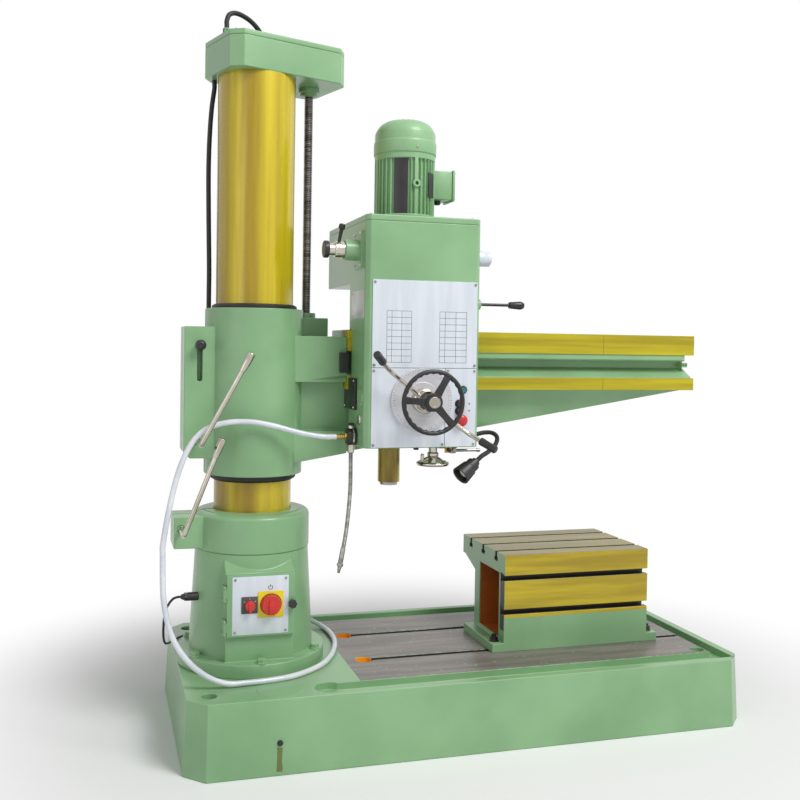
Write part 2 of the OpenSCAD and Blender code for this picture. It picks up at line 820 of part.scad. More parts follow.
// T-bolts of the table and hex bolts of the pedestal flange
module hold_down_bolts() {
    color(paint) {
        for (x = table_bolt_xs)
            translate([x, t_bolt_y, base_h]) {
                translate([-16, -slot_foot_w / 2 + 1, -slot_d + 2])
                    cube([32, slot_foot_w - 2, slot_foot_h - 2]);
                z_cylinder(-slot_d + 3, table_lug_h + 29, t_bolt_r);
                z_cylinder(table_lug_h, table_lug_h + 4, t_bolt_r + 9);
                translate([0, 0, table_lug_h + 4]) hex_head(t_bolt_r + 7, 16);
            }
        at_flange_bolts() {
            translate([0, 0, flange_top]) hex_head(flange_bolt_r * 1.6, flange_bolt_r * 1.3);
            z_cylinder(base_h - bolt_depth, flange_top + 1, flange_bolt_r);
        }
    }
}

// Round pedestal with foot flange, electrical box and hinge lugs
module pedestal() {
    bore_r = pedestal_top_r - pedestal_wall;
    color(paint) difference() {
        union() {
            difference() {
                rotate_extrude()
                    polygon([
                        [0, base_h], [flange_r, base_h], [flange_r, flange_top - 4],
                        [flange_r - 4, flange_top], [pedestal_r, flange_top],
                        [pedestal_top_r, pedestal_top], [0, pedestal_top]
                    ]);
                block([box_left + eps, -flange_r, flange_top], [box_right - eps, -box_front, pedestal_top]);
            }
            x_extrude(box_left, box_right)
                polygon([
                    [-box_front, flange_top - eps], [-box_front, base_h + box_h],
                    [box_slope_d - box_front, base_h + box_h + box_slope_h],
                    [-box_front / 2, base_h + box_h + box_slope_h], [-box_front / 2, flange_top - eps]
                ]);
            for (z = hinge_zs) for (lug = [z - hinge_h / 2 - 10, z + hinge_h / 2 + face_gap])
                translate([0, 0, lug]) {
                    translate([hinge_x, hinge_y, 0]) cylinder(r = hinge_r, h = 10 - face_gap);
                    block([hinge_x - hinge_r, hinge_y, 0], [box_left + eps, -box_front + 20, 10 - face_gap]);
                }
            for (z = hinge_zs)
                translate([hinge_x, hinge_y, z - hinge_h / 2 - 10])
                    cylinder(r = door_pin_r, h = hinge_h + 20);
        }
        z_cylinder(base_h - eps, pedestal_top + eps, bore_r);
        block(
            [box_left + 20, -box_front - eps, door_z + 20],
            [box_right - 20, -bore_r - 8, door_z + door_h - 20]
        );
        flange_bolt_holes();
    }
}

// Clearance holes of the flange bolts, through the flange and into the base
module flange_bolt_holes() {
    at_flange_bolts() z_cylinder(base_h - bolt_depth - eps, flange_top + eps, flange_bolt_r + 0.5);
}

module at_flange_bolts() {
    for (i = [0 : flange_bolts - 1])
        rotate([0, 0, 360 * i / flange_bolts - 90]) translate([flange_bolt_pcd, 0, 0]) children();
}

// Fixed inner column that carries the turning column
module inner_column() {
    color(steel) difference() {
        union() {
            z_cylinder(base_h, inner_top, inner_r);
            z_cylinder(base_h, base_h + 30, pedestal_top_r - pedestal_wall - 4);
        }
        z_cylinder(base_h - eps, inner_top + eps, inner_bore_r);
    }
}

// Roller bearings between the two columns
module column_bearings() {
    color(steel)
        for (z = [column_z + 10, inner_top - 60])
            difference() {
                z_cylinder(z, z + 40, column_bore_r - run_fit);
                z_cylinder(z - eps, z + 40 + eps, inner_r);
            }
}

// Coolant pump behind the pedestal, with its outlet spigot and cable entry
module coolant_pump() {
    color(paint) {
        translate([pump.x, pump.y, base_h]) {
            cylinder(r = pump_r + 16, h = pump_foot_h);
            cylinder(r = pump_r - 8, h = pump_neck_h + eps);
            z_cylinder(pump_neck_h, pump_h, pump_r);
            z_cone(pump_h - eps, pump_h + pump_top_h, pump_r, pump_r - 12);
        }
        x_cylinder(pump.x, pump_end.x, pump_end.y, pump_end.z, hose_r - 2.5);
        x_cylinder(pump.x, pump_end.x - 22, pump_end.y, pump_end.z, hose_r + 5);
        x_cylinder(pump_entry.x, pump.x, pump_entry.y, pump_entry.z, pump_cable_r + 5);
    }
}

// Power cable of the pump
module pump_cable() {
    color(black) tube(pump_cable_route, pump_cable_r);
}

// Gland where the pump cable leaves the pedestal
module cable_gland() {
    color(black) difference() {
        x_cylinder(gland.x, gland.x + 80, gland.y, gland.z, pump_cable_r + 10);
        z_cone(flange_top, pedestal_top, pedestal_r, pedestal_top_r);
    }
}

// Coolant hose lying round the pedestal
module hose_base() {
    color(hose_white) tube(hose_base_route, hose_r);
}

// Cabinet door with hinge knuckles
module cabinet_door() {
    color(paint) difference() {
        union() {
            block([door_x, -door_face, door_z], [box_right, -box_front - face_gap, door_z + door_h]);
            for (z = hinge_zs)
                translate([0, 0, z - hinge_h / 2]) {
                    translate([hinge_x, hinge_y, 0]) cylinder(r = hinge_r, h = hinge_h);
                    block([hinge_x, hinge_y, 0], [door_x + eps, hinge_y + hinge_r, hinge_h]);
                }
        }
        for (z = hinge_zs)
            translate([hinge_x, hinge_y, z - hinge_h / 2 - eps])
                cylinder(r = door_pin_r + run_fit, h = hinge_h + 2 * eps);
        for (s = door_turns)
            y_cylinder(-door_face - eps, -door_face + door_t - 3, s.x, switch_z, s.y + run_fit);
    }
}

// Places on the door that turn: where along the door, and shaft radius
main_switch_x = box_x + 0.145 * box_w;
coolant_switch_x = box_x - 0.16 * box_w;
latch_x = box_right - 10;
switch_shaft_r = 6;
door_turns = [
    [main_switch_x, switch_shaft_r], [coolant_switch_x, switch_shaft_r], [latch_x, switch_shaft_r]
];

// Turning knob on the cabinet door with a pointer bar
module door_knob(x, r, bar) {
    y_cylinder(-door_face - 6 - bar, -door_face - face_gap - 4, x, switch_z, r);
    y_cylinder(-door_face - 6, -door_face + door_t - 3.5, x, switch_z, switch_shaft_r);
    block([x - r / 4, -door_face - 12 - bar, switch_z - r], [x + r / 4, -door_face - 6, switch_z + 0.4 * r]);
}

module main_switch() {
    color("red") door_knob(main_switch_x, main_switch_r, 16);
}

module coolant_switch() {
    color("red") door_knob(coolant_switch_x, coolant_switch_r, 12);
}

// Lobed latch knob
module door_latch() {
    color(black) {
        for (turn = [0 : 72 : 288])
            translate([latch_x, 0, switch_z])
                rotate([0, turn, 0])
                    y_cylinder(-door_face - 20, -door_face - 4, 0, 0.62 * latch_r, 0.42 * latch_r);
        y_cylinder(-door_face - 22, -door_face - 3, latch_x, switch_z, 0.7 * latch_r);
        y_cylinder(-door_face - 6, -door_face + door_t - 3.5, latch_x, switch_z, switch_shaft_r);
    }
}

// Turning outer column
module outer_column() {
    color(oiled) difference() {
        z_cylinder(column_z, cap_z, column_r);
        z_cylinder(column_z - eps, cap_z + eps, column_bore_r);
    }
}

// Split clamp ring at the foot of the turning column
module clamp_ring() {
    color(paint) difference() {
        union() {
            rotate_extrude()
                polygon([
                    [column_r, clamp_z], [clamp_r, clamp_z], [clamp_r, clamp_top - 16],
                    [clamp_r - 3, clamp_top - 8], [clamp_r - 10, clamp_top - 2], [clamp_r - 16, clamp_top],
                    [column_r + 34, clamp_top],
                    [column_r + 34, clamp_top + clamp_collar_h], [column_r, clamp_top + clamp_collar_h]
                ]);
            difference() {
                block([-clamp_lug_x, -lug_front, clamp_z + 7], [0, lug_back, clamp_top - 12]);
                z_cylinder(clamp_z, clamp_top, column_r + 20);
            }
        }
        block([-clamp_lug_x - eps, -lug_front / 2 + lug_back / 2 - 3, clamp_z - eps],
            [-column_r + 8, -lug_front / 2 + lug_back / 2 + 3, clamp_top + 10]);
        lever_hole(column_lever);
    }
}

// Bore of a clamp lever's shaft in its lug
module lever_hole(pivot) {
    y_cylinder(-lug_front - eps, -lug_front + lever_bore_l, pivot.x, pivot.y, lever_shaft_r + run_fit);
}

// Bent clamp lever: shaft into its lug, elbow, rod and flared end
module clamp_lever(pivot, plane, tilt) {
    foot = [pivot.x, plane, pivot.y];
    dir = [sin(tilt), 0, cos(tilt)];
    grip_l = 66;
    y_cylinder(-lug_front + 4, -lug_front + lever_bore_l - 2, pivot.x, pivot.y, lever_shaft_r);
    y_cylinder(plane, -lug_front + 6, pivot.x, pivot.y, lever_rod_r);
    translate(foot) sphere(r = lever_rod_r + 2);
    rod(foot, foot + dir * (lever_l - grip_l + 1), lever_rod_r);
    translate(foot + dir * (lever_l - grip_l))
        rotate([0, tilt, 0])
            rotate_extrude()
                polygon([
                    [0, 0], [lever_rod_r + 0.5, 0], [lever_grip_r - 2, 14], [lever_grip_r, grip_l - 4],
                    [lever_grip_r - 4, grip_l], [0, grip_l]
                ]);
}

module column_clamp_lever() {
    color(steel) clamp_lever(column_lever, column_lever_plane, column_lever_tilt);
}

// Outline of the cap with chamfered corners, drawn smaller by a wall
module cap_outline(inset) {
    x0 = -cap_left + inset;
    x1 = cap_right - inset;
    y1 = cap_w / 2 - inset;
    c = cap_chamfer - 0.6 * inset;
    polygon([
        [x0 + c, -y1], [x1 - c, -y1], [x1, -y1 + c], [x1, y1 - c],
        [x1 - c, y1], [x0 + c, y1], [x0, y1 - c], [x0, -y1 + c]
    ]);
}

// Cap casting on the column, open at its top
module top_cap() {
    color(paint) translate([0, 0, cap_z]) rotate([0, 0, cap_angle]) difference() {
        linear_extrude(cap_h) cap_outline(0);
        translate([0, 0, cap_wall]) linear_extrude(cap_h) cap_outline(cap_wall);
        translate([screw_d, 0, -eps]) cylinder(r = screw_r + 1, h = cap_wall + 2 * eps);
        translate([lift_motor_x, 0, -eps]) cylinder(r = 14, h = cap_wall + 2 * eps);
    }
}

// Lid of the cap with the cable gland
module cap_lid() {
    color(paint) {
        translate([0, 0, cap_lid_z]) rotate([0, 0, cap_angle]) linear_extrude(cap_lid_t) cap_outline(0);
        translate([cap_gland.x, cap_gland.y, cap_top - eps])
            cylinder(r = cable_r + 5, h = cap_gland.z - cap_top + eps);
    }
}

// Cable loop on top of the cap
module cap_cable() {
    color(black) tube(cap_cable_route, cable_r, hint = [0.5, -0.86, 0]);
}

// Geared elevating motor hung inside the top of the column
module elevating_motor() {
    color(steel) rotate([0, 0, cap_angle]) translate([lift_motor_x, 0, 0]) {
        z_cylinder(cap_z - lift_motor_l, cap_z, lift_motor_r);
        z_cylinder(cap_z - 1, gear_z + gear_t - 1, 10);
    }
}

// Upper bearing of the lead screw, under the cap
module screw_bearing() {
    color(black) rotate([0, 0, cap_angle]) translate([screw_d, 0, cap_z - 28]) difference() {
        union() {
            cylinder(r = screw_bearing_r - 6, h = 28);
            z_cylinder(12, 28, screw_bearing_r);
        }
        z_cylinder(-eps, 29, screw_r + run_fit);
    }
}

// Lead screw that raises the arm
module lead_screw() {
    color(steel) rotate([0, 0, cap_angle]) translate([screw_d, 0, screw_z])
        cylinder(r = screw_r, h = gear_z + gear_t + 8 - screw_z);
}

// Gear on the lead screw
module screw_gear() {
    color(steel) rotate([0, 0, cap_angle]) translate([screw_d, 0, gear_z]) difference() {
        rotate([0, 0, 180 / lift_screw_teeth + (lift_screw_teeth % 2) * 180 / lift_screw_teeth])
            gear(lift_screw_teeth, lift_module, gear_t);
        z_cylinder(-eps, gear_t + eps, screw_r);
    }
}

// Gear on the elevating motor
module drive_gear() {
    color(steel) rotate([0, 0, cap_angle]) translate([lift_motor_x, 0, gear_z]) difference() {
        gear(lift_drive_teeth, lift_module, gear_t);
        z_cylinder(-eps, gear_t + eps, 10 + run_fit);
    }
}

// Supply cable beside the column, from the cap to the arm sleeve
module column_cable() {
    color(black) tube(column_cable_route, cable_r);
}

// Coolant hose hanging beside the column
module hose_column() {
    color(hose_white) tube(hose_column_route, hose_r);
}

// Arm casting: sleeve on the column, clamp lug, root and tapering web
module arm_casting() {
    slit_y = (lug_back - lug_front) / 2;
    color(paint) difference() {
        union() {
            z_cylinder(sleeve_z, sleeve_top, sleeve_r);
            y_extrude(-lug_front, lug_back)
                polygon([
                    [-sleeve_lug_x + 20, lug_z], [0, lug_z], [0, lug_top], [-sleeve_lug_x, lug_top],
                    [-sleeve_lug_x, lug_z + 20]
                ]);
            y_extrude(-web_front, arm_back)
                polygon([
                    [0, root_z], [arm_body_end, lower_rail_z], [arm_body_end, arm_top],
                    [root_x, arm_top], [root_x, root_top], [0, root_top]
                ]);
            block([0, -root_front, lower_rail_z + 24], [root_x, arm_back, root_top]);
            y_extrude(-root_front, arm_back)
                polygon([
                    [0, root_z], [root_x + 3, taper_z(root_x + 3)],
                    [root_x + 3, root_z + 124], [0, root_z + 124]
                ]);
            x_extrude(root_x, arm_body_end)
                polygon([
                    [-web_front + eps, recess_z + 36], [-web_front, recess_z + 36],
                    [-rail_front + 2, recess_z + 3], [-rail_front + 2, recess_z - eps],
                    [-web_front + eps, recess_z - eps]
                ]);
        }
        z_cylinder(sleeve_z - eps, sleeve_top + eps, column_r + run_fit);
        translate([screw_x, screw_y, sleeve_z - eps]) cylinder(r = screw_r + 3, h = sleeve_h);
        rail_blocks(0);
        block(
            [-sleeve_lug_x - eps, slit_y - 3, sleeve_z - eps],
            [-column_r + 8, slit_y + 3, sleeve_top + eps]
        );
        lever_hole(arm_lever);
        for (z = [knob_z, knob_z - knob_travel])
            y_cylinder(-lug_front - eps, -lug_front + 40, knob_x, z, knob_slot_r);
        block([knob_x - knob_slot_r, -lug_front - eps, knob_z - knob_travel],
            [knob_x + knob_slot_r, -lug_front + 40, knob_z]);
        arm_back_pockets();
    }
}

// Rails of the arm, cut from the casting or made with a gap at their joint
module rail_blocks(joint) {
    joint_x = rail_x + 0.717 * (arm_end - rail_x);
    runs = joint > 0
        ? [[rail_x, joint_x - joint / 2], [joint_x + joint / 2, arm_end]]
        : [[rail_x, arm_end + eps]];
    over = joint > 0 ? 0 : 0.001;
    for (rail = [[upper_rail_z, arm_top], [lower_rail_z, recess_z]])
        for (run = runs)
            block([run[0], -rail_front, rail[0]], [run[1], rail_depth - rail_front, rail[1] + over]);
}

module arm_ways() {
    color(oiled) rail_blocks(0.6);
}

// Shallow cast pockets in the back of the arm
module arm_back_pockets() {
    pocket_l = 205;
    pitch = 245;
    for (i = [0 : floor((arm_body_end - root_x - 100) / pitch) - 1]) {
        x0 = root_x + 60 + i * pitch;
        x1 = x0 + pocket_l;
        y_extrude(arm_back - 45, arm_back + eps)
            polygon([[x0, taper_z(x0) + 50], [x1, taper_z(x1) + 50], [x1, arm_top - 50], [x0, arm_top - 50]]);
    }
}

// Stops at the two ends of the arm's recess
module end_stops() {
    color(black) {
        block([rail_x - 27, -rail_front, recess_z + 12], [rail_x, -root_front, upper_rail_z - 5]);
        block(
            [arm_body_end - 24, -rail_front + 26, recess_z + 40],
            [arm_body_end, -web_front, upper_rail_z - 28]
        );
    }
}

// Wiper rings above and below the sleeve
module column_wipers() {
    color(black)
        for (w = [[sleeve_top, 16, 13], [sleeve_z - 22, 22, 15]])
            difference() {
                z_cylinder(w[0], w[0] + w[1], column_r + w[2]);
                z_cylinder(w[0] - eps, w[0] + w[1] + eps, column_r + run_fit);
            }
}

// Housing of the elevating nut, seated on the arm root beside the sleeve
module nut_housing() {
    color(paint) difference() {
        union() {
            block([screw_x - 68, screw_y - 50, root_top], [screw_x + 68, screw_y + 48, nut_top - 18]);
            translate([screw_x, screw_y, root_top]) cylinder(r = 33, h = nut_top - root_top);
        }
        z_cylinder(sleeve_z, sleeve_top + eps, sleeve_r);
        translate([screw_x, screw_y, root_top - eps]) cylinder(r = screw_r + run_fit, h = nut_top);
    }
}

// Rack under the upper rail that the head travels along
module traverse_rack() {
    pitch = PI * traverse_module;
    middle = hub_x + (ceil((arm_body_end - hub_x) / pitch) - 4 - (rack_teeth - 1) / 2) * pitch + pitch / 2;
    depth = upper_rail_z - rack_pitch_z - 1.25 * traverse_module;
    color(steel)
        y_extrude(-rail_front + 4, -rail_front + 22)
            translate([middle - pitch, rack_pitch_z])
                mirror([0, 1]) polygon(rack_outline(rack_teeth, traverse_module, gear_slack, depth));
}

module arm_clamp_lever() {
    color(steel) clamp_lever(arm_lever, arm_lever_plane, arm_lever_tilt);
}

// Ball knob that slides in the slot of the sleeve's lug
module slot_knob() {
    color(black) {
        y_cylinder(-lug_front - 26, -lug_front + 36, knob_x, knob_z, knob_stem_r);
        translate([knob_x, -lug_front - 26, knob_z]) sphere(r = 18);
    }
}

// Coolant hose from the arm sleeve to the head's valve
module hose_arm() {
    color(hose_white) tube(hose_arm_route, hose_r);
}

// Drill head casting: front box, gearbox over the arm, lips on the rails
module head_casting() {
    back = -rail_front - face_gap;
    color(paint) difference() {
        union() {
            x_extrude(head_x, head_end)
                polygon([
                    [-head_front, head_z], [-head_front, head_top], [head_back, head_top],
                    [head_back, overhang_z], [-rail_front + 34, overhang_z],
                    [-rail_front + 34, arm_top + face_gap], [back, arm_top + face_gap],
                    [back, lower_rail_z - face_gap], [-rail_front + 30, lower_rail_z - face_gap],
                    [-rail_front + 30, head_z]
                ]);
            block(
                [head_x - 8, selector_y - 45, selector_z - 60],
                [head_x + eps, selector_y + 45, selector_z + 62]
            );
            x_cylinder(head_x - 54, head_x, selector_y, selector_z, 34);
            x_cylinder(head_end - eps, head_end + 16, direction_y, direction_z, ball_r + 7);
            x_cylinder(head_end - eps, head_end + 12, lamp_base.y, lamp_base.z, lamp_neck_r + 8);
        }
        for (corner = [[head_x, 1], [head_end, -1]])
            translate([corner[0], -head_front, 0])
                linear_extrude(far)
                    polygon([
                        [-corner[1] * eps, -eps], [corner[1] * (head_chamfer + eps), -eps],
                        [-corner[1] * eps, head_chamfer + eps]
                    ]);
        block(
            [head_x + gearbox_wall, -head_front + gearbox_wall, overhang_z + gearbox_wall],
            [head_end - gearbox_wall, head_back - gearbox_wall, head_top + eps]
        );
        translate([quill_x, quill_y, head_z - eps])
            cylinder(r = quill_r + run_fit, h = quill_top + 12 - head_z);
        translate([quill_x, quill_y, head_z]) cylinder(r = spindle_r + 3, h = head_h);
        y_cylinder(
            quill_y - feed_rack_w / 2 - 2, quill_y + feed_rack_w / 2 + 2,
            hub_x, hub_z, feed_r + feed_module + 1.5
        );
        y_cylinder(-head_front - eps, quill_y, hub_x, hub_z, feed_shaft_r + run_fit);
        y_cylinder(-head_front - eps, quill_y + 40, hub_x, hub_z, wheel_shaft_r + run_fit);
        y_cylinder(-rail_front - 60, -rail_front + eps, hub_x, traverse_z, pinion_shaft_r + run_fit);
        x_cylinder(head_x - 60, head_x + 30, selector_y, selector_z, selector_shaft_r + run_fit);
        x_cylinder(head_end - 30, head_end + eps, speed_knob_y, speed_knob_z, selector_shaft_r + run_fit);
        translate([ball_x, direction_y, direction_z])
            rotate([0, 90, 0]) {
                sphere(r = ball_r + face_gap);
                cylinder(r1 = 0, r2 = 24, h = 24);
            }
        ball_pin(run_fit);
        for (x = [fine_x, lock_x])
            translate([x, quill_y, head_z - eps]) cylinder(r = fine_shaft_r + run_fit, h = 44);
        button_holes(button_stem + 6);
    }
}

// Holes of the push buttons through the plates and into the head
module button_holes(depth) {
    for (b = [start_xz, up_xz, down_xz, stop_xz])
        y_cylinder(-panel_face - eps, -head_front + depth, b.x, b.y, button_r + 0.5);
}

feed_shaft_r = 25;
pinion_shaft_r = 8;
selector_shaft_r = 10;
fine_shaft_r = 8;

// Lid of the head
module head_lid() {
    color(paint)
        translate([0, 0, head_top])
            linear_extrude(head_lid_t)
                polygon([
                    [head_x + head_chamfer, -head_front], [head_end - head_chamfer, -head_front],
                    [head_end, -head_front + head_chamfer], [head_end, head_back], [head_x, head_back],
                    [head_x, -head_front + head_chamfer]
                ]);
}

// White plates on the head's front
module panel_plates() {
    left = head_x + plate_left;
    right = head_end - plate_right;
    foot = head_z + plate_foot;
    seam_z = hub_z + seam_dz;
    seam_x = hub_x + seam_dx;
    color("white") difference() {
        union() {
            block([left, -panel_face, seam_z + plate_gap / 2], [right, -head_front, head_z + plate_h]);
            block([left, -panel_face, foot], [seam_x - plate_gap / 2, -head_front, seam_z - plate_gap / 2]);
            block([seam_x + plate_gap / 2, -panel_face, foot], [right, -head_front, seam_z - plate_gap / 2]);
        }
        y_cylinder(-panel_face - eps, -head_front + eps, hub_x, hub_z, hub_r + 4);
        button_holes(eps);
    }
}

// Spindle motor with fins, flange and terminal box
module drive_motor() {
    color(paint) translate([motor_x, motor_y, lid_top]) {
        cylinder(r = cowl_r, h = motor_flange_h);
        cylinder(r = motor_r, h = motor_h);
        for (i = [0 : fin_count - 1])
            rotate([0, 0, 360 * i / fin_count])
                block([motor_r - 2, -fin_t / 2, fin_foot], [fin_r, fin_t / 2, motor_h - 1.35 * fin_foot]);
        z_cylinder(motor_h - 6, motor_h - 6 + motor_shield_h, cowl_r - cowl_t - face_gap);
        block(
            [motor_r - 6, -terminal_w / 2, terminal_z],
            [motor_r + terminal_reach, terminal_w / 2, terminal_z + terminal_h]
        );
    }
}

// Domed fan cowl
module motor_cowl() {
    shares = [[1, 0], [1, 0.56], [0.95, 0.6], [0.93, 0.71], [0.85, 0.88], [0.66, 0.965], [0, 1]];
    outer = [for (s = shares) [s.x * cowl_r, s.y * cowl_h]];
    inner = [for (i = [len(outer) - 1 : -1 : 0]) [max(outer[i].x - cowl_t, 0), max(outer[i].y - cowl_t, 0)]];
    color(paint) translate([motor_x, motor_y, motor_top]) rotate_extrude() polygon(concat(outer, inner));
}

// Round coolant valve on the head's left side, with hose barb and ferrule
module coolant_valve() {
    color(black) difference() {
        union() {
            x_cylinder(valve_x - 15, head_x, valve_y, valve_z, valve_r);
            x_cylinder(barb_x, valve_x - 14, valve_y, valve_z, hose_r - 2.5);
            x_cylinder(barb_x + 16, valve_x - 14, valve_y, valve_z, hose_r + 3);
            translate(goose_start) cylinder(r = goose_r + 4, h = valve_z - goose_start.z);
            translate([valve_x, valve_y, valve_z]) cylinder(r = 11, h = valve_r + 8);
        }
        translate([valve_x, valve_y, valve_z + 14]) cylinder(r = tap_stem_r + run_fit, h = 60);
    }
}

tap_stem_r = 5;

// Tap of the coolant valve
module valve_tap() {
    z = valve_z + valve_r + 8 + face_gap;
    color(black) translate([valve_x, valve_y, 0]) {
        z_cylinder(valve_z + 16, z + 4, tap_stem_r);
        z_cylinder(z, z + 8, 9);
        block([-5, -26, z], [5, 0, z + 7]);
    }
}

// Flexible coolant gooseneck with its nozzle
module coolant_pipe() {
    tip = goose_route[len(goose_route) - 1];
    down = tip - goose_route[len(goose_route) - 2];
    color(steel) {
        ribbed_hose(goose_route, goose_r, goose_r - 3, goose_ribs, 1);
        aim(tip, down) difference() {
            union() {
                cylinder(r = goose_r + 1, h = 46);
                translate([0, 0, 46]) cylinder(r = goose_r + 3, h = 10, $fn = 6);
                z_cone(56, 78, goose_r, 4);
            }
            z_cylinder(-eps, 90, 2.5);
        }
    }
}

// Flexible lamp neck from the head's right side
module lamp_arm() {
    color(black) ribbed_hose(lamp_route, lamp_neck_r, lamp_neck_r - 4, lamp_ribs, 1, hint = [0, 0, 1]);
}

// Lamp shade with its lens
module lamp_head() {
    color(black) aim(lamp_root, lamp_aim) difference() {
        union() {
            cylinder(r = 15, h = 14);
            z_cylinder(12, 38, 22);
            z_cone(36, lamp_l, 27, lamp_r);
        }
        z_cylinder(lamp_l - 26, lamp_l + eps, lamp_r - 7);
    }
}

// Quill with the feed rack on its right side
module quill() {
    pitch = PI * feed_module;
    teeth = floor((quill_stroke + 60) / pitch);
    middle = hub_z + pitch * (round((quill_stroke / 2) / pitch) + (teeth % 2 == 0 ? 0 : 0.5));
    tip_x = rack_x + feed_module;
    flat_w = feed_rack_w + 20;
    flat_l = (teeth + 2) * pitch;
    color(oiled) translate([quill_x, quill_y, 0]) difference() {
        z_cylinder(quill_z, quill_top, quill_r);
        z_cylinder(quill_z - eps, quill_top + eps, spindle_r + run_fit);
        y_extrude(-feed_rack_w / 2, feed_rack_w / 2)
            for (i = [0 : teeth - 2])
                translate([rack_x, middle + (i - (teeth - 2) / 2) * pitch]) rack_gap(feed_module);
        block([tip_x, -flat_w / 2, middle - flat_l / 2], [quill_r + eps, flat_w / 2, middle + flat_l / 2]);
    }
}

// Gap between two teeth of a rack whose teeth point along +X
module rack_gap(m) {
    p = PI * m;
    wide = p / 4 + gear_slack / 2 + (m + eps) * tan(pressure);
    narrow = p / 4 + gear_slack / 2 - 1.25 * m * tan(pressure);
    polygon([[-1.25 * m, -narrow], [m + eps, -wide], [m + eps, wide], [-1.25 * m, narrow]]);
}

// Spindle with its taper socket
module spindle() {
    socket_r = 15.63;
    socket_end_r = 12.6;
    socket_l = 118;
    nose = 10;
    color(steel) translate([quill_x, quill_y, 0]) difference() {
        union() {
            z_cylinder(quill_z - nose, quill_z - face_gap, spindle_r + 6);
            z_cylinder(quill_z - 1, quill_top, spindle_r);
            z_cylinder(quill_top - 1, head_top - 31, spindle_r - 7);
        }
        z_cone(quill_z - nose, quill_z - nose + socket_l, socket_r, socket_end_r);
        z_cylinder(quill_z - nose - eps, quill_z - nose + eps / 2, socket_r);
        block([-6, -40, quill_z - nose + socket_l - 34], [6, 40, quill_z - nose + socket_l - 6]);
    }
}

// Feed hub with its dial, pinion and two bent levers
module feed_handle() {
    mid_r = 0.69 * feed_reach;
    grip_start_r = 0.846 * feed_reach;
    root_y = -head_front - 50;
    mid_y = root_y - 24;
    grip_y = mid_y - 42;
    end_y = grip_y - 42;
    color(steel) difference() {
        union() {
            y_cylinder(-dial_face, -panel_face - face_gap, hub_x, hub_z, dial_r);
            y_cylinder(-hub_face, -panel_face - face_gap, hub_x, hub_z, hub_r);
            y_cylinder(-panel_face - 1, quill_y + feed_rack_w / 2, hub_x, hub_z, feed_shaft_r);
            translate([hub_x, quill_y + feed_rack_w / 2, hub_z])
                rotate([90, 0, 0]) gear(feed_teeth, feed_module, feed_rack_w);
            for (turn = [lever_angle, lever_angle + 180])
                translate([hub_x, 0, hub_z])
                    rotate([0, -turn, 0]) {
                        rod([hub_r - 8, root_y, 0], [mid_r, mid_y, 0], 7);
                        translate([mid_r, mid_y, 0]) rotate([0, 0, 60]) sphere(r = 8.5);
                        rod([mid_r, mid_y, 0], [grip_start_r, grip_y, 0], 7);
                        rod([grip_start_r, grip_y, 0], [feed_reach, end_y, 0], 13);
                    }
        }
        y_cylinder(-hub_face - eps, quill_y + feed_rack_w / 2 + eps, hub_x, hub_z, wheel_shaft_r + run_fit);
    }
}

// Handwheel that moves the head along the arm
module traverse_wheel() {
    rim = 8;
    color(black) {
        translate([hub_x, wheel_y, hub_z])
            rotate([90, 0, 0]) rotate_extrude() translate([wheel_r - rim, 0]) circle(r = rim);
        y_cylinder(wheel_y - 10, -hub_face - face_gap, hub_x, hub_z, 24);
        y_cylinder(wheel_y - 16, wheel_y - 9, hub_x, hub_z, 19);
        y_cylinder(-hub_face - 1, quill_y + 38, hub_x, hub_z, wheel_shaft_r);
        for (turn = [60, 176, 312])
            translate([hub_x, wheel_y, hub_z])
                rotate([0, -turn, 0]) block([16, -5, -10], [wheel_r - rim, 5, 10]);
    }
}

// Pinion that runs on the traverse rack
module traverse_pinion() {
    color(steel) {
        y_cylinder(-rail_front - 58, -rail_front + 6, hub_x, traverse_z, pinion_shaft_r);
        translate([hub_x, -rail_front + 20, traverse_z])
            rotate([90, 0, 0]) rotate([0, 0, 90]) gear(traverse_teeth, traverse_module, 15);
    }
}

// Fine feed handwheel under the head
module fine_feed_wheel() {
    rim = 7;
    color(steel) translate([fine_x, quill_y, 0]) {
        translate([0, 0, fine_z]) rotate_extrude() translate([fine_wheel_r - rim, 0]) circle(r = rim);
        z_cone(fine_z - 5, fine_z + 21, fine_wheel_r - rim, 16);
        z_cylinder(fine_z, head_z - face_gap, 15);
        z_cylinder(fine_z, head_z + 40, fine_shaft_r);
        translate([-fine_wheel_r + 14, -14, fine_z]) cylinder(r = 6, h = 34);
    }
}

// Speed selector on the head's left side
module speed_lever() {
    x0 = head_x - 54 - face_gap;
    color(steel) {
        x_cylinder(x0 - 1, head_x + 28, selector_y, selector_z, selector_shaft_r);
        x_cylinder(x0 - 31, x0, selector_y, selector_z, 27);
        x_cylinder(x0 - 53, x0 - 30, selector_y, selector_z, 20);
        x_cylinder(x0 - 67, x0 - 52, selector_y, selector_z, 28);
        rod([x0 - 18, selector_y, selector_z + 20], [x0 - 12, selector_y - 22, selector_z + 72], 6);
        translate([x0 - 12, selector_y - 22, selector_z + 72]) sphere(r = 11);
    }
}

// Speed dial on the head's right side
module speed_knob() {
    color(steel) {
        x_cylinder(head_end - 28, head_end + 2, speed_knob_y, speed_knob_z, selector_shaft_r);
        x_cylinder(head_end + face_gap, head_end + 50, speed_knob_y, speed_knob_z, 27);
    }
}

// Pin that the direction lever's ball turns on, or its bore
module ball_pin(fit) {
    reach = ball_pin_l / 2 + 10 * fit;
    y_cylinder(direction_y - reach, direction_y + reach, ball_x, direction_z, ball_pin_r + fit);
}

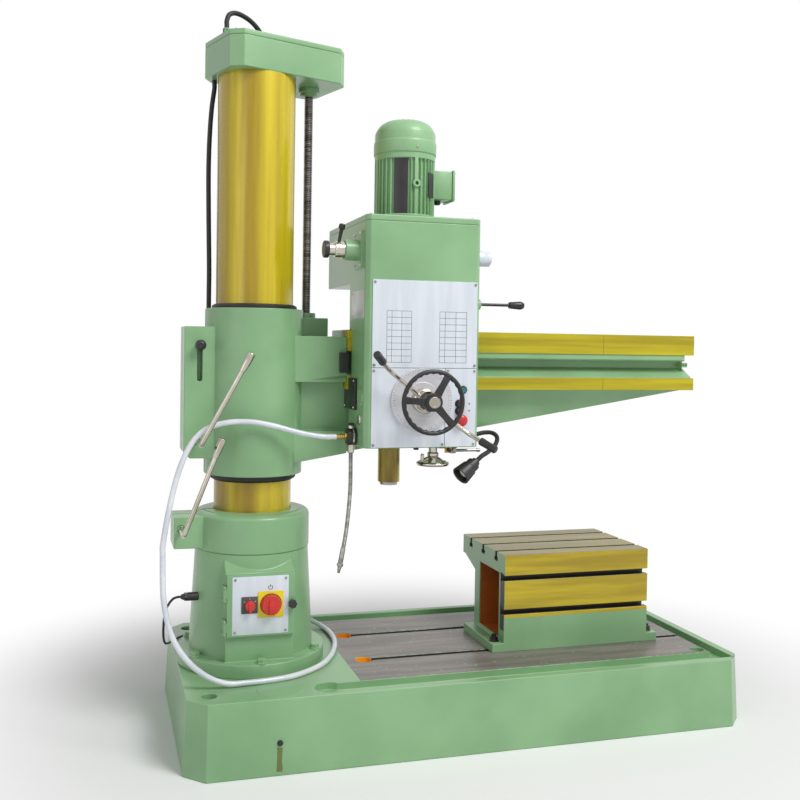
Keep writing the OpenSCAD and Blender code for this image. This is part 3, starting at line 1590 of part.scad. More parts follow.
// Spindle direction lever on the head's right side
module direction_lever() {
    color(black) {
        translate([ball_x, direction_y, direction_z])
            rotate([0, 90, 0]) {
                sphere(r = ball_r);
                cylinder(r = 5, h = 116);
                z_cone(114, 154, 11, 14);
                z_cone(154, 168, 14, 9);
            }
        ball_pin(0);
    }
}

// Lock rod under the head
module lock_rod() {
    color(steel) translate([lock_x, quill_y, 0]) {
        z_cylinder(lock_z, head_z + 40, fine_shaft_r);
        z_cylinder(lock_z - 9, lock_z + 9, 13);
        x_cylinder(0, 100, 0, lock_z, 5);
    }
}

// Push button with a flat face
module push_button(place) {
    y_cylinder(-panel_face - 10, -head_front + button_stem, place.x, place.y, button_r);
}

module start_button() {
    color("teal") push_button(start_xz);
}

module up_button() {
    color(black) push_button(up_xz);
}

module down_button() {
    color(black) push_button(down_xz);
}

// Emergency stop with its mushroom head
module stop_button() {
    color("red") {
        push_button(stop_xz);
        y_cylinder(-panel_face - 26, -panel_face - 10, stop_xz.x, stop_xz.y, stop_r);
    }
}

base_casting();
box_table();
hold_down_bolts();
pedestal();
inner_column();
column_bearings();
coolant_pump();
pump_cable();
cable_gland();
hose_base();
cabinet_door();
main_switch();
coolant_switch();
door_latch();
outer_column();
clamp_ring();
column_clamp_lever();
top_cap();
cap_lid();
cap_cable();
elevating_motor();
screw_bearing();
lead_screw();
screw_gear();
drive_gear();
column_cable();
hose_column();
arm_casting();
arm_ways();
end_stops();
column_wipers();
nut_housing();
traverse_rack();
arm_clamp_lever();
slot_knob();
hose_arm();
head_casting();
head_lid();
panel_plates();
drive_motor();
motor_cowl();
coolant_valve();
valve_tap();
coolant_pipe();
lamp_arm();
lamp_head();
quill();
spindle();
feed_handle();
traverse_wheel();
traverse_pinion();
fine_feed_wheel();
speed_lever();
speed_knob();
direction_lever();
lock_rod();
start_button();
up_button();
down_button();
stop_button();
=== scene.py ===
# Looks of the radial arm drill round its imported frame; lengths are in millimetres until a piece is made
import math

import bmesh
import bpy
from mathutils import Matrix, Vector
from mathutils.bvhtree import BVHTree


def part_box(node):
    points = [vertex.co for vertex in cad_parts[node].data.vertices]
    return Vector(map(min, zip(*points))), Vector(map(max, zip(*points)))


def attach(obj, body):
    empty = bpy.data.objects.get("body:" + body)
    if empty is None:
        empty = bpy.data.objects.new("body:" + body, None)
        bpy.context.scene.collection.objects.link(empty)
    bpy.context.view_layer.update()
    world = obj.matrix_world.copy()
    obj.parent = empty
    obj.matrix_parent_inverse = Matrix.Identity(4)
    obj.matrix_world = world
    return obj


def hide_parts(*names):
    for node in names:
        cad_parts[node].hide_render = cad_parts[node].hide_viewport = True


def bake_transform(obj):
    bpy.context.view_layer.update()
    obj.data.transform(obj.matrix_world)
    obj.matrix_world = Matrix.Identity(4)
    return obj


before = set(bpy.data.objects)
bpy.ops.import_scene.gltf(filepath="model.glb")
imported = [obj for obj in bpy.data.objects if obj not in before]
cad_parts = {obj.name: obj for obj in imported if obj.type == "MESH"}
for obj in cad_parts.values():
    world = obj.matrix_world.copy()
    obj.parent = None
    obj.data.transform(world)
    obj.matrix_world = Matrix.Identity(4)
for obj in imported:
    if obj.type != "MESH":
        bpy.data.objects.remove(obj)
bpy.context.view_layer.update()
scene = bpy.context.scene
scene.view_settings.view_transform = "Standard"
mm = 0.001
print("frame loaded:", len(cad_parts), "nodes")


# camera where the photograph was taken from
shot = dict(place=(-510.73, -3243.93, 1288.77), yaw=0.2765, pitch=-0.0236, roll=0.0148,
            focalPixels=961.09, centrePixels=(369.99, 368.47), pictureSide=800, sensor=36)


def addCamera():
    yaw, pitch, roll = shot["yaw"], shot["pitch"], shot["roll"]
    look = Vector((math.cos(pitch) * math.sin(yaw), math.cos(pitch) * math.cos(yaw), math.sin(pitch)))
    level = Vector((math.cos(yaw), -math.sin(yaw), 0))
    upright = level.cross(look)
    right = level * math.cos(roll) + upright * math.sin(roll)
    up = upright * math.cos(roll) - level * math.sin(roll)
    lens = bpy.data.cameras.new("photoCamera")
    lens.sensor_width = shot["sensor"]
    lens.lens = shot["focalPixels"] * shot["sensor"] / shot["pictureSide"]
    lens.shift_x = 0.5 - shot["centrePixels"][0] / shot["pictureSide"]
    lens.shift_y = shot["centrePixels"][1] / shot["pictureSide"] - 0.5
    lens.clip_end = 200
    camera = bpy.data.objects.new("photoCamera", lens)
    scene.collection.objects.link(camera)
    turn = Matrix((right, up, -look)).transposed().to_4x4()
    camera.matrix_world = Matrix.Translation(Vector(shot["place"]) * mm) @ turn
    scene.camera = camera


addCamera()
print("camera placed")


# shader helpers
def tint(red, green, blue):
    def linear(value):
        value /= 255
        return value / 12.92 if value <= 0.04045 else ((value + 0.055) / 1.055) ** 2.4
    return (linear(red), linear(green), linear(blue), 1)


def plug(tree, node, sockets):
    for key, value in sockets.items():
        if isinstance(value, bpy.types.NodeSocket):
            tree.links.new(value, node.inputs[key])
        else:
            node.inputs[key].default_value = value


def addNode(tree, kind, sockets=None, **settings):
    made = tree.nodes.new(kind)
    for key, value in settings.items():
        setattr(made, key, value)
    plug(tree, made, sockets or {})
    return made


def newGroup(name, inputs, outputs):
    tree = bpy.data.node_groups.new(name, "ShaderNodeTree")
    kinds = {"value": "NodeSocketFloat", "vector": "NodeSocketVector"}
    for label, kind in inputs.items():
        tree.interface.new_socket(label, in_out="INPUT", socket_type=kinds[kind])
    for label, kind in outputs.items():
        tree.interface.new_socket(label, in_out="OUTPUT", socket_type=kinds[kind])
    return tree, addNode(tree, "NodeGroupInput").outputs, addNode(tree, "NodeGroupOutput").inputs


def mixValue(tree, share, low, high):
    return addNode(tree, "ShaderNodeMix", {0: share, 2: low, 3: high}, data_type="FLOAT").outputs[0]


def mixColour(tree, share, low, high):
    return addNode(tree, "ShaderNodeMix", {0: share, 6: low, 7: high}, data_type="RGBA").outputs[2]


def ramp(tree, value, low, high):
    sockets = {0: value, 1: low, 2: high}
    return addNode(tree, "ShaderNodeMapRange", sockets, interpolation_type="SMOOTHSTEP").outputs[0]


def maths(tree, operation, a, b):
    return addNode(tree, "ShaderNodeMath", {0: a, 1: b}, operation=operation).outputs[0]


def multiply(tree, a, b):
    return maths(tree, "MULTIPLY", a, b)


def vectorMaths(tree, operation, a, b, output=0):
    return addNode(tree, "ShaderNodeVectorMath", {0: a, 1: b}, operation=operation).outputs[output]


def noise(tree, place, scale, detail):
    return addNode(tree, "ShaderNodeTexNoise", {"Vector": place, "Scale": scale, "Detail": detail}).outputs


def objectPlace(tree):
    return addNode(tree, "ShaderNodeTexCoord").outputs["Object"]


def surfaceNormal(tree):
    return addNode(tree, "ShaderNodeNewGeometry").outputs["Normal"]


# effects that several finishes share
def castGrain():
    tree, given, out = newGroup("castGrain", {"Scale": "value"}, {"Tone": "value", "Peel": "value"})
    place = objectPlace(tree)
    broad = noise(tree, place, given["Scale"], 5)[0]
    fine = noise(tree, place, multiply(tree, given["Scale"], 45), 2)[0]
    tree.links.new(ramp(tree, broad, 0.3, 0.72), out["Tone"])
    tree.links.new(fine, out["Peel"])
    return tree


def oilStreaks():
    tree, given, out = newGroup("oilStreaks", {"Stretch": "vector"}, {"Band": "value", "Line": "value"})
    drawn = vectorMaths(tree, "MULTIPLY", objectPlace(tree), given["Stretch"])
    tree.links.new(ramp(tree, noise(tree, drawn, 1.0, 3)[0], 0.32, 0.7), out["Band"])
    tree.links.new(ramp(tree, noise(tree, drawn, 9.0, 4)[0], 0.3, 0.75), out["Line"])
    return tree


def wornEdge():
    tree, given, out = newGroup("wornEdge", {"Radius": "value"}, {"Mask": "value", "Normal": "vector"})
    soft = addNode(tree, "ShaderNodeBevel", {"Radius": given["Radius"]}, samples=4).outputs[0]
    same = vectorMaths(tree, "DOT_PRODUCT", soft, surfaceNormal(tree), "Value")
    tree.links.new(ramp(tree, same, 0.985, 0.86), out["Mask"])
    tree.links.new(soft, out["Normal"])
    return tree


def settledDust():
    tree, given, out = newGroup("settledDust", {"Scale": "value"}, {"Mask": "value"})
    upward = addNode(tree, "ShaderNodeSeparateXYZ", {0: surfaceNormal(tree)}).outputs[2]
    spread = noise(tree, objectPlace(tree), given["Scale"], 6)[0]
    lies = multiply(tree, ramp(tree, upward, 0.6, 0.98), ramp(tree, spread, 0.42, 0.75))
    tree.links.new(lies, out["Mask"])
    return tree


def boxPatch():
    inputs = {"Low": "vector", "High": "vector", "Ragged": "value"}
    tree, given, out = newGroup("boxPatch", inputs, {"Mask": "value"})
    place = objectPlace(tree)
    shake = vectorMaths(tree, "SUBTRACT", noise(tree, place, 60.0, 4)[1], (0.5, 0.5, 0.5))
    sockets = {0: shake, 3: given["Ragged"]}
    shake = addNode(tree, "ShaderNodeVectorMath", sockets, operation="SCALE").outputs[0]
    place = vectorMaths(tree, "ADD", place, shake)
    over = vectorMaths(tree, "SUBTRACT", place, given["Low"])
    under = vectorMaths(tree, "SUBTRACT", given["High"], place)
    x, y, z = addNode(tree, "ShaderNodeSeparateXYZ", {0: vectorMaths(tree, "MINIMUM", over, under)}).outputs
    inside = maths(tree, "MINIMUM", maths(tree, "MINIMUM", x, y), z)
    tree.links.new(ramp(tree, inside, 0.0, 0.0006), out["Mask"])
    return tree


effects = {make.__name__: make() for make in (castGrain, oilStreaks, wornEdge, settledDust, boxPatch)}


def effect(tree, name, **sockets):
    return addNode(tree, "ShaderNodeGroup", sockets, node_tree=effects[name]).outputs


def newMaterial(name):
    material = bpy.data.materials.new(name)
    material.use_nodes = True
    tree = material.node_tree
    return material, tree, tree.nodes["Principled BSDF"]


def bump(tree, height, strength, distance, normal):
    sockets = {"Height": height, "Strength": strength, "Distance": distance, "Normal": normal}
    return addNode(tree, "ShaderNodeBump", sockets).outputs[0]


# painted castings, with patches of other finishes at given places
def paintedCast(name, light, dark, rough=0.38, grain=3.0, edge=0.0025, patches=(), dust=0.18):
    material, tree, shader = newMaterial(name)
    tone = effect(tree, "castGrain", Scale=grain)
    worn = effect(tree, "wornEdge", Radius=edge)
    dusty = effect(tree, "settledDust", Scale=9.0)["Mask"]
    colour = mixColour(tree, tone["Tone"], tint(*dark), tint(*light))
    chipped = multiply(tree, worn["Mask"], ramp(tree, tone["Peel"], 0.35, 0.7))
    colour = mixColour(tree, multiply(tree, chipped, 0.45), colour, tint(205, 228, 198))
    colour = mixColour(tree, multiply(tree, dusty, dust), colour, tint(170, 164, 140))
    roughness = mixValue(tree, tone["Tone"], rough - 0.06, rough + 0.08)
    for patch in patches:
        low, high = (tuple(v * mm for v in corner) for corner in patch["box"])
        mask = effect(tree, "boxPatch", Low=low, High=high, Ragged=patch["ragged"])["Mask"]
        streak = effect(tree, "oilStreaks", Stretch=patch.get("stretch", (2, 2, 2)))
        inner = mixColour(tree, streak["Band"], tint(*patch["dark"]), tint(*patch["light"]))
        lines = multiply(tree, streak["Line"], patch.get("lines", 0.25))
        colour = mixColour(tree, mask, colour, mixColour(tree, lines, inner, tint(*patch["dark"])))
        roughness = mixValue(tree, mask, roughness, patch["rough"])
    normal = bump(tree, tone["Peel"], 0.12, 0.0006, worn["Normal"])
    plug(tree, shader, {"Base Color": colour, "Roughness": roughness, "Normal": normal,
                        "Coat Weight": 0.25, "Coat Roughness": 0.18})
    return material


# bare and oiled metal, with drawn streaks
def oiledMetal(name, light, dark, rough, metal=1.0, stretch=(2, 2, 2), lines=0.3, edge=0.0008, coat=0.0):
    material, tree, shader = newMaterial(name)
    streak = effect(tree, "oilStreaks", Stretch=stretch)
    worn = effect(tree, "wornEdge", Radius=edge)
    colour = mixColour(tree, streak["Band"], tint(*dark), tint(*light))
    colour = mixColour(tree, multiply(tree, streak["Line"], lines), colour, tint(*dark))
    colour = mixColour(tree, multiply(tree, worn["Mask"], 0.3), colour, tint(*light))
    roughness = mixValue(tree, streak["Line"], rough - 0.05, rough + 0.09)
    normal = bump(tree, streak["Line"], 0.05, 0.0003, worn["Normal"])
    plug(tree, shader, {"Base Color": colour, "Roughness": roughness, "Normal": normal,
                        "Metallic": metal, "Coat Weight": coat, "Coat Roughness": 0.1})
    return material


# moulded plastic and rubber
def moulded(name, light, dark, rough, grain=9.0, peel=0.15, edge=0.0008, coat=0.0):
    material, tree, shader = newMaterial(name)
    tone = effect(tree, "castGrain", Scale=grain)
    worn = effect(tree, "wornEdge", Radius=edge)
    dusty = effect(tree, "settledDust", Scale=30.0)["Mask"]
    colour = mixColour(tree, tone["Tone"], tint(*dark), tint(*light))
    colour = mixColour(tree, multiply(tree, worn["Mask"], 0.25), colour, tint(*light))
    colour = mixColour(tree, multiply(tree, dusty, 0.15), colour, tint(150, 146, 132))
    roughness = mixValue(tree, tone["Tone"], rough - 0.05, rough + 0.07)
    normal = bump(tree, tone["Peel"], peel, 0.0004, worn["Normal"])
    plug(tree, shader, {"Base Color": colour, "Roughness": roughness, "Normal": normal, "Coat Weight": coat})
    return material


# colours of the paints, and where bare, oiled and primed places lie on the base and the table, with painted
# shade in the slots and inside the table's tunnel
sage = dict(light=(145, 188, 140), dark=(126, 169, 122))
gold = dict(light=(206, 182, 14), dark=(162, 138, 8), rough=0.42, ragged=0.003, stretch=(1.5, 20, 26),
            lines=0.3)
dullGold = {**gold, "light": (150, 132, 52), "dark": (112, 96, 30)}
primer = dict(light=(255, 188, 24), dark=(252, 160, 14), rough=0.6, ragged=0.0)
# a darker copy of the primer, as painted shade inside the table's tunnel
shadedPrimer = {**primer, "light": (190, 100, 26), "dark": (120, 54, 14), "ragged": 0.004}
bareTop = dict(light=(136, 128, 121), dark=(106, 100, 96), rough=0.5, stretch=(3, 30, 3), ragged=0.006)
drip = dict(light=(112, 122, 60), dark=(92, 96, 40), rough=0.3, ragged=0.008)
# painted shade: dark colour inside the base's T-slots
shadedBaseSlot = dict(light=(50, 46, 44), dark=(26, 24, 24), rough=0.6, ragged=0.0)
# painted shade: dark colour inside the table's top T-slots
shadedTopSlot = dict(light=(66, 58, 28), dark=(36, 30, 16), rough=0.5, ragged=0.0)
# painted shade: dark colour inside the table's front slots
shadedFrontSlot = dict(light=(60, 50, 40), dark=(30, 24, 22), rough=0.5, ragged=0.0)


def boxOf(node):
    return (Vector(corner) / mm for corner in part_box(node))


baseLow = next(boxOf("base_casting"))
tableLow, tableHigh = boxOf("box_table")
topZ = 228  # top of the base
platform = dict(x=(298, 1577), halfWidth=334, pocketX=364, pocketY=137, pocketRadius=29)
pocketX = (platform["pocketX"] - platform["pocketRadius"] - 1,
           platform["pocketX"] + platform["pocketRadius"] + 0.5)
pocketY = (-platform["pocketY"] - 60, platform["pocketY"] + 60)
pocketZ = (100, topZ - 1.5)
table = dict(left=859, right=1422, front=-174, back=221, goldFrom=345, tunnelY=(-126, 51), tunnelZ=(268, 496))
tableX = (table["left"] + 1, table["right"] - 1)


def grown(span, more):
    return span[0] - more, span[1] + more


def patchAt(x, y, z, look):
    return dict(look, box=tuple(zip(x, y, z)))


basePatches = [
    patchAt(platform["x"], (-platform["halfWidth"], platform["halfWidth"]), (topZ - 1.4, topZ + 2), bareTop),
    patchAt(pocketX, pocketY, pocketZ, primer),
    # painted shade in the base's T-slots
    patchAt((pocketX[1], platform["x"][1] + 2), pocketY, pocketZ, shadedBaseSlot),
    patchAt((14, 31), (baseLow.y - 2, -420), (12, 84), drip),
]
tablePatches = [
    patchAt(tableX, (tableLow.y - 2, table["front"] + 1.2), (table["goldFrom"], tableHigh.z + 1), gold),
    patchAt(tableX, (tableLow.y - 2, tableHigh.y + 2), (tableHigh.z - 1.2, tableHigh.z + 1), dullGold),
    # painted shade in the table's top T-slots
    patchAt(tableX, (table["front"] + 3, table["back"] - 3), (tableHigh.z - 36, tableHigh.z - 1.3), shadedTopSlot),
    # painted shade: darker primer inside the tunnel
    patchAt(grown(tableX, -3), grown(table["tunnelY"], 2), grown(table["tunnelZ"], 2), shadedPrimer),
    # painted shade in the table's front slots
    patchAt(grown(tableX, 2), (table["front"] + 1.5, table["front"] + 36), (300, 500), shadedFrontSlot),
]

paints = dict(
    sagePaint=dict(),
    basePaint=dict(dust=0.3, patches=basePatches),
    tablePaint=dict(patches=tablePatches),
)
metals = dict(
    oiledColumn=dict(light=(222, 200, 26), dark=(150, 120, 6), rough=0.3, metal=0.15, stretch=(9, 9, 0.35),
                     coat=0.3),
    oiledRail=dict(light=(200, 186, 14), dark=(164, 148, 6), rough=0.42, metal=0.05, stretch=(1.5, 20, 40),
                   coat=0.1),
    oiledQuill=dict(light=(188, 164, 20), dark=(96, 76, 8), rough=0.28, metal=0.3, stretch=(20, 20, 2),
                    lines=0.5, coat=0.3),
    machined=dict(light=(184, 182, 178), dark=(138, 137, 135), rough=0.34, stretch=(4, 4, 60)),
    chrome=dict(light=(206, 200, 190), dark=(168, 161, 149), rough=0.16, stretch=(6, 6, 6), lines=0.12),
    screwSteel=dict(light=(150, 146, 142), dark=(84, 81, 79), rough=0.3, metal=0.45, stretch=(8, 8, 80)),
    darkSteel=dict(light=(92, 88, 84), dark=(48, 46, 46), rough=0.36, stretch=(8, 8, 80)),
    brass=dict(light=(206, 172, 92), dark=(150, 116, 52), rough=0.3, stretch=(20, 20, 20)),
    dialSilver=dict(light=(226, 226, 230), dark=(206, 206, 211), rough=0.34, metal=0.25, stretch=(3, 3, 3),
                    lines=0.06),
    plate=dict(light=(226, 232, 240), dark=(214, 221, 230), rough=0.36, metal=0.1, stretch=(30, 3, 3),
               lines=0.12),
)
plastics = dict(
    blackPlastic=dict(light=(44, 43, 44), dark=(24, 24, 25), rough=0.36),
    blackRubber=dict(light=(36, 35, 36), dark=(20, 20, 21), rough=0.55, grain=14.0),
    redPlastic=dict(light=(222, 48, 40), dark=(194, 30, 28), rough=0.34, coat=0.2),
    tealPlastic=dict(light=(34, 132, 122), dark=(20, 98, 92), rough=0.34, coat=0.2),
    yellowPlastic=dict(light=(246, 222, 30), dark=(232, 200, 16), rough=0.36),
    greyPlastic=dict(light=(84, 82, 78), dark=(62, 60, 58), rough=0.45),
    whiteHose=dict(light=(236, 238, 244), dark=(212, 217, 228), rough=0.26, peel=0.04, coat=0.4),
    ink=dict(light=(40, 40, 44), dark=(26, 26, 30), rough=0.5),
    lens=dict(light=(228, 226, 214), dark=(206, 204, 192), rough=0.2, coat=0.5),
)
finish = {name: paintedCast(name, **sage, **facts) for name, facts in paints.items()}
finish.update({name: oiledMetal(name, **facts) for name, facts in metals.items()})
finish.update({name: moulded(name, **facts) for name, facts in plastics.items()})
print("finishes made:", len(finish))


# mesh helpers
toFront, toLeft, toRight, toTop = (0, -1, 0), (-1, 0, 0), (1, 0, 0), (0, 0, 1)


def around(count, first=0.0):
    return [first + 2 * math.pi * k / count for k in range(count)]


# a direction and the one square to it, at a turn round an upright axis, or round one to the front
def spoke(turn, upright=False):
    c, s = math.cos(turn), math.sin(turn)
    if upright:
        return Vector((c, 0, s)), Vector((-s, 0, c))
    return Vector((c, s, 0)), Vector((-s, c, 0))


def rectangle(x0, y0, x1, y1):
    return [(x0, y0), (x1, y0), (x1, y1), (x0, y1)]


def axisFrame(axis):
    along = Vector(axis).normalized()
    hint = Vector((0, 0, 1)) if abs(along.z) < 0.9 else Vector((1, 0, 0))
    across = hint.cross(along).normalized()
    return across, along.cross(across), along


def addFace(shape, corners, index):
    corners = list(dict.fromkeys(corners))
    if len(corners) > 2:
        shape.faces.new(corners).material_index = index


def addRing(shape, centre, across, side, radius, steps):
    points = [centre + (across * math.cos(t) + side * math.sin(t)) * radius for t in around(steps)]
    return [shape.verts.new(point) for point in points]


# faces between rings of points, with both ends closed or the last ring joined to the first
def skin(shape, rings, index=0, looped=False):
    steps = max(len(ring) for ring in rings)
    for a, b in zip(rings, rings[1:] + rings[:1] if looped else rings[1:]):
        for k in range(steps):
            j = (k + 1) % steps
            addFace(shape, [a[k % len(a)], a[j % len(a)], b[j % len(b)], b[k % len(b)]], index)
    if not looped:
        addFace(shape, rings[0], index)
        addFace(shape, rings[-1], index)


# a profile of radius and height, turned about an axis
def turned(shape, profile, foot, axis=toTop, steps=40, index=0, bored=False):
    across, side, along = axisFrame(axis)
    rings = []
    for radius, height in profile:
        centre = Vector(foot) + along * height
        rings.append(addRing(shape, centre, across, side, radius, steps if radius > 0.001 else 1))
    skin(shape, rings, index, bored)


def peg(shape, radius, start, end, foot, axis=toTop, steps=28, index=0):
    turned(shape, [(0, start), (radius, start), (radius, end), (0, end)], foot, axis, steps, index)


def softened(shape, verts, soft, index):
    if soft:
        edges = list({e for v in verts for e in v.link_edges})
        made = bmesh.ops.bevel(shape, geom=edges, offset=soft, segments=2, profile=0.5, affect="EDGES")
        for face in made["faces"]:
            face.material_index = index


def block(shape, low, high, index=0, soft=0.0):
    verts = bmesh.ops.create_cube(shape, size=1)["verts"]
    for v in verts:
        v.co = Vector(low[i] + (v.co[i] + 0.5) * (high[i] - low[i]) for i in range(3))
    for face in {f for v in verts for f in v.link_faces}:
        face.material_index = index
    softened(shape, verts, soft, index)


def prism(shape, outline, origin, across, up, depth, index=0, soft=0.0):
    u, v = Vector(across).normalized(), Vector(up).normalized()
    w = u.cross(v)
    near = [shape.verts.new(Vector(origin) + u * x + v * y) for x, y in outline]
    away = [shape.verts.new(p.co + w * depth) for p in near]
    addFace(shape, near, index)
    addFace(shape, away[::-1], index)
    for k in range(len(near)):
        j = (k + 1) % len(near)
        addFace(shape, [near[k], near[j], away[j], away[k]], index)
    softened(shape, near + away, soft, index)


# an outline in X and Z that stands proud of an upright face
def raised(shape, outline, face, depth, index=0, soft=0.0, middle=(0, 0)):
    prism(shape, outline, (middle[0], face, middle[1]), toRight, toTop, depth, index, soft)


def runLengths(points):
    lengths = [0.0]
    for a, b in zip(points, points[1:]):
        lengths.append(lengths[-1] + (b - a).length)
    return lengths


def tubeAlong(shape, line, radius, sides=14, index=0):
    points = [Vector(p) for p in line]
    lengths = runLengths(points)
    across = None
    rings = []
    for k, point in enumerate(points):
        along = (points[min(k + 1, len(points) - 1)] - points[max(k - 1, 0)]).normalized()
        across = axisFrame(along)[0] if across is None else (across - along * across.dot(along)).normalized()
        size = radius(lengths[k] / lengths[-1]) if callable(radius) else radius
        rings.append(addRing(shape, point, across, along.cross(across), size, sides))
    skin(shape, rings, index)


def smoothLine(points, steps=6):
    points = [Vector(p) for p in points]
    line = []
    for k in range(len(points) - 1):
        a, b, c, d = points[max(k - 1, 0)], points[k], points[k + 1], points[min(k + 2, len(points) - 1)]
        for s in range(steps):
            t = s / steps
            curve = 2 * b + (c - a) * t + (2 * a - 5 * b + 4 * c - d) * t * t
            line.append((curve + (3 * b - a - 3 * c + d) * t ** 3) / 2)
    return line + [points[-1]]


def screwHead(shape, place, axis, radius=4.0, index=0):
    shares = [(1, 0), (1, 0.35), (0.8, 0.62), (0.5, 0.66), (0.42, 0.25), (0, 0.25)]
    turned(shape, [(a * radius, b * radius) for a, b in shares], place, axis, 14, index)


def screwRows(shape, xs, ys, zs, axis, radius, index=0):
    for x in xs:
        for y in ys:
            for z in zs:
                screwHead(shape, (x, y, z), axis, radius, index)


def hexBolt(shape, place, radius, height):
    washer = [(1.25, 0), (1.25, 0.16), (1.18, 0.2), (0, 0.2)]
    head = [(0, 0.1), (1, 0.1), (1, 0.88), (0.86, 1), (0, 1)]
    for shares, steps in ((washer, 24), (head, 6)):
        turned(shape, [(a * radius, b * height) for a, b in shares], place, steps=steps)


# sharp edges with enough flat beside them to be rounded
def roomyEdges(shape, soft, sharp=28):
    tree = BVHTree.FromBMesh(shape)

    def roomy(edge):
        for loop in edge.link_loops:
            a, b = loop.vert.co, loop.link_loop_next.vert.co
            inward = loop.face.normal.cross((b - a).normalized())
            for share in (0.06, 0.5, 0.94):
                beside = a.lerp(b, share) + inward * 2.3 * soft
                normal, gap = tree.find_nearest(beside)[1::2]
                if gap > 0.25 * soft or normal.dot(loop.face.normal) < 0.8:
                    return False
        return True

    sharpEdges = [e for e in shape.edges if e.is_manifold and e.calc_face_angle() > math.radians(sharp)]
    return [e for e in sharpEdges if roomy(e)]


# a node's own shape, with its roomy edges rounded
def castCopy(node, soft, segments=3):
    shape = bmesh.new()
    shape.from_mesh(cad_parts[node].data)
    bmesh.ops.scale(shape, vec=(1 / mm,) * 3, verts=shape.verts)
    bmesh.ops.remove_doubles(shape, verts=shape.verts, dist=0.003)
    shape.normal_update()
    for face in shape.faces:
        face.material_index = 0
    if soft:
        bmesh.ops.bevel(shape, geom=roomyEdges(shape, soft), offset=soft, segments=segments, profile=0.5,
                        affect="EDGES", clamp_overlap=False)
    return shape


def makePiece(name, shape, finishes, body, stands=(), crease=36, even=False):
    bmesh.ops.scale(shape, vec=(mm,) * 3, verts=shape.verts)
    bmesh.ops.recalc_face_normals(shape, faces=shape.faces)
    data = bpy.data.meshes.new(name)
    shape.to_mesh(data)
    shape.free()
    for label in [finishes] if isinstance(finishes, str) else finishes:
        data.materials.append(finish[label])
    data.shade_smooth()
    data.set_sharp_from_angle(angle=math.radians(crease))
    piece = bpy.data.objects.new(name, data)
    scene.collection.objects.link(piece)
    if even:
        piece.modifiers.new("evenNormals", "WEIGHTED_NORMAL").keep_sharp = True
    if body:
        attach(piece, body)
    if stands:
        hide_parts(*stands)
    return piece


# hoses and cables, along given routes
valveEnd, sleeveJoin, columnJoin = (242.7, -195, 990), (-205, -189, 996), (-313, -240, 630)
lieZ = 237.6  # middle of the hose where it lies on the base
sleeveRun = Vector((-24, -3, -25)).normalized()
columnRun = Vector((0, -8, -60)).normalized()


def beyond(point, run, *distances):
    return [tuple(Vector(point) + run * distance) for distance in distances]


cords = dict(
    hoseArm=dict(
        stands="hose_arm", bodies=("head", "arm"), span=(valveEnd, (sleeveJoin[0], valveEnd[1], valveEnd[2])),
        radius=9, length=0.465, lay="hanging",
        route=[valveEnd, (228.7, -195, 990), (208.7, -195, 990), (165, -196, 995), (105, -196, 1008),
               (40, -194, 1026), (-20, -191, 1038), (-70, -189, 1041), (-112, -187, 1038), (-148, -186, 1030),
               (-175, -186, 1019), *beyond(sleeveJoin, sleeveRun, -12, -6, 0)]),
    hoseColumn=dict(
        stands="hose_column", bodies=("arm", "column"), span=(sleeveJoin, (*sleeveJoin[:2], columnJoin[2])),
        radius=9, length=0.391, lay="hanging",
        route=[*beyond(sleeveJoin, sleeveRun, 0.3, 6, 12), (-232, -193, 960), (-248, -197, 928),
               (-263, -204, 890), (-279, -213, 836), (-294, -222, 770), (-306, -231, 706),
               *beyond(columnJoin, columnRun, -30, -15, 0)]),
    hoseBase=dict(
        stands="hose_base", bodies=("column", "base"), span=(columnJoin, (*columnJoin[:2], 300)),
        radius=9, length=1.523, lay="loose",
        route=[*beyond(columnJoin, columnRun, 0.3, 24, 48), (-311, -256, 510), (-303, -268, 455),
               (-288, -282, 400), (-262, -294, 350), (-222, -306, 303), (-170, -310, 264), (-115, -306, 242),
               (-60, -298, 238), (10, -292, lieZ), (86, -274, lieZ), (158, -230, lieZ), (222, -164, lieZ),
               (272, -70, lieZ), (306, 40, lieZ), (316, 150, lieZ), (300, 245, 240), (250, 308, 256),
               (190, 330, 278), (150, 332, 288), (128, 332, 288), (112.3, 332, 288)]),
    columnCable=dict(
        stands="column_cable", bodies=("column", "arm"), span=((-150, 36, 2177.7), (-150, 36, 1406.3)),
        radius=8, length=0.773, lay="hanging", finish="blackRubber",
        route=[(-137, 52, 2177.7), (-137, 52, 2164), (-137, 52, 2150), (-146, 48, 2080), (-152, 44, 1990),
               (-155, 40, 1880), (-154, 38, 1760), (-152, 36, 1640), (-150, 36, 1540), (-150, 36, 1466),
               (-150, 36, 1436), (-150, 36, 1406.3)]),
    capCable=dict(
        stands="cap_cable", bodies=("column",), radius=8, length=0.239, lay="loose", finish="blackRubber",
        route=[(-112, -62, 2320.3), (-112, -62, 2332), (-112, -62, 2344), (-104, -57, 2366), (-84, -45, 2378),
               (-56, -28, 2378), (-24, -8, 2368), (4, 8, 2348), (14, 15, 2330), (14, 15, 2314),
               (14, 15, 2298.3)]),
    pumpCable=dict(
        stands="pump_cable", bodies=("base",), radius=4, length=0.722, lay="loose", finish="blackRubber",
        route=[(-242.3, -62, 456), (-252, -62, 456), (-266, -62, 451), (-278, -60, 437), (-288, -54, 416),
               (-293, -40, 384), (-293, -12, 346), (-290, 32, 304), (-282, 88, 264), (-266, 152, 240),
               (-230, 220, 234), (-176, 278, 236), (-132, 310, 254), (-102, 326, 284), (-80, 331, 318),
               (-58, 331, 344), (-38, 331, 355), (-22.3, 331, 356)]),
)


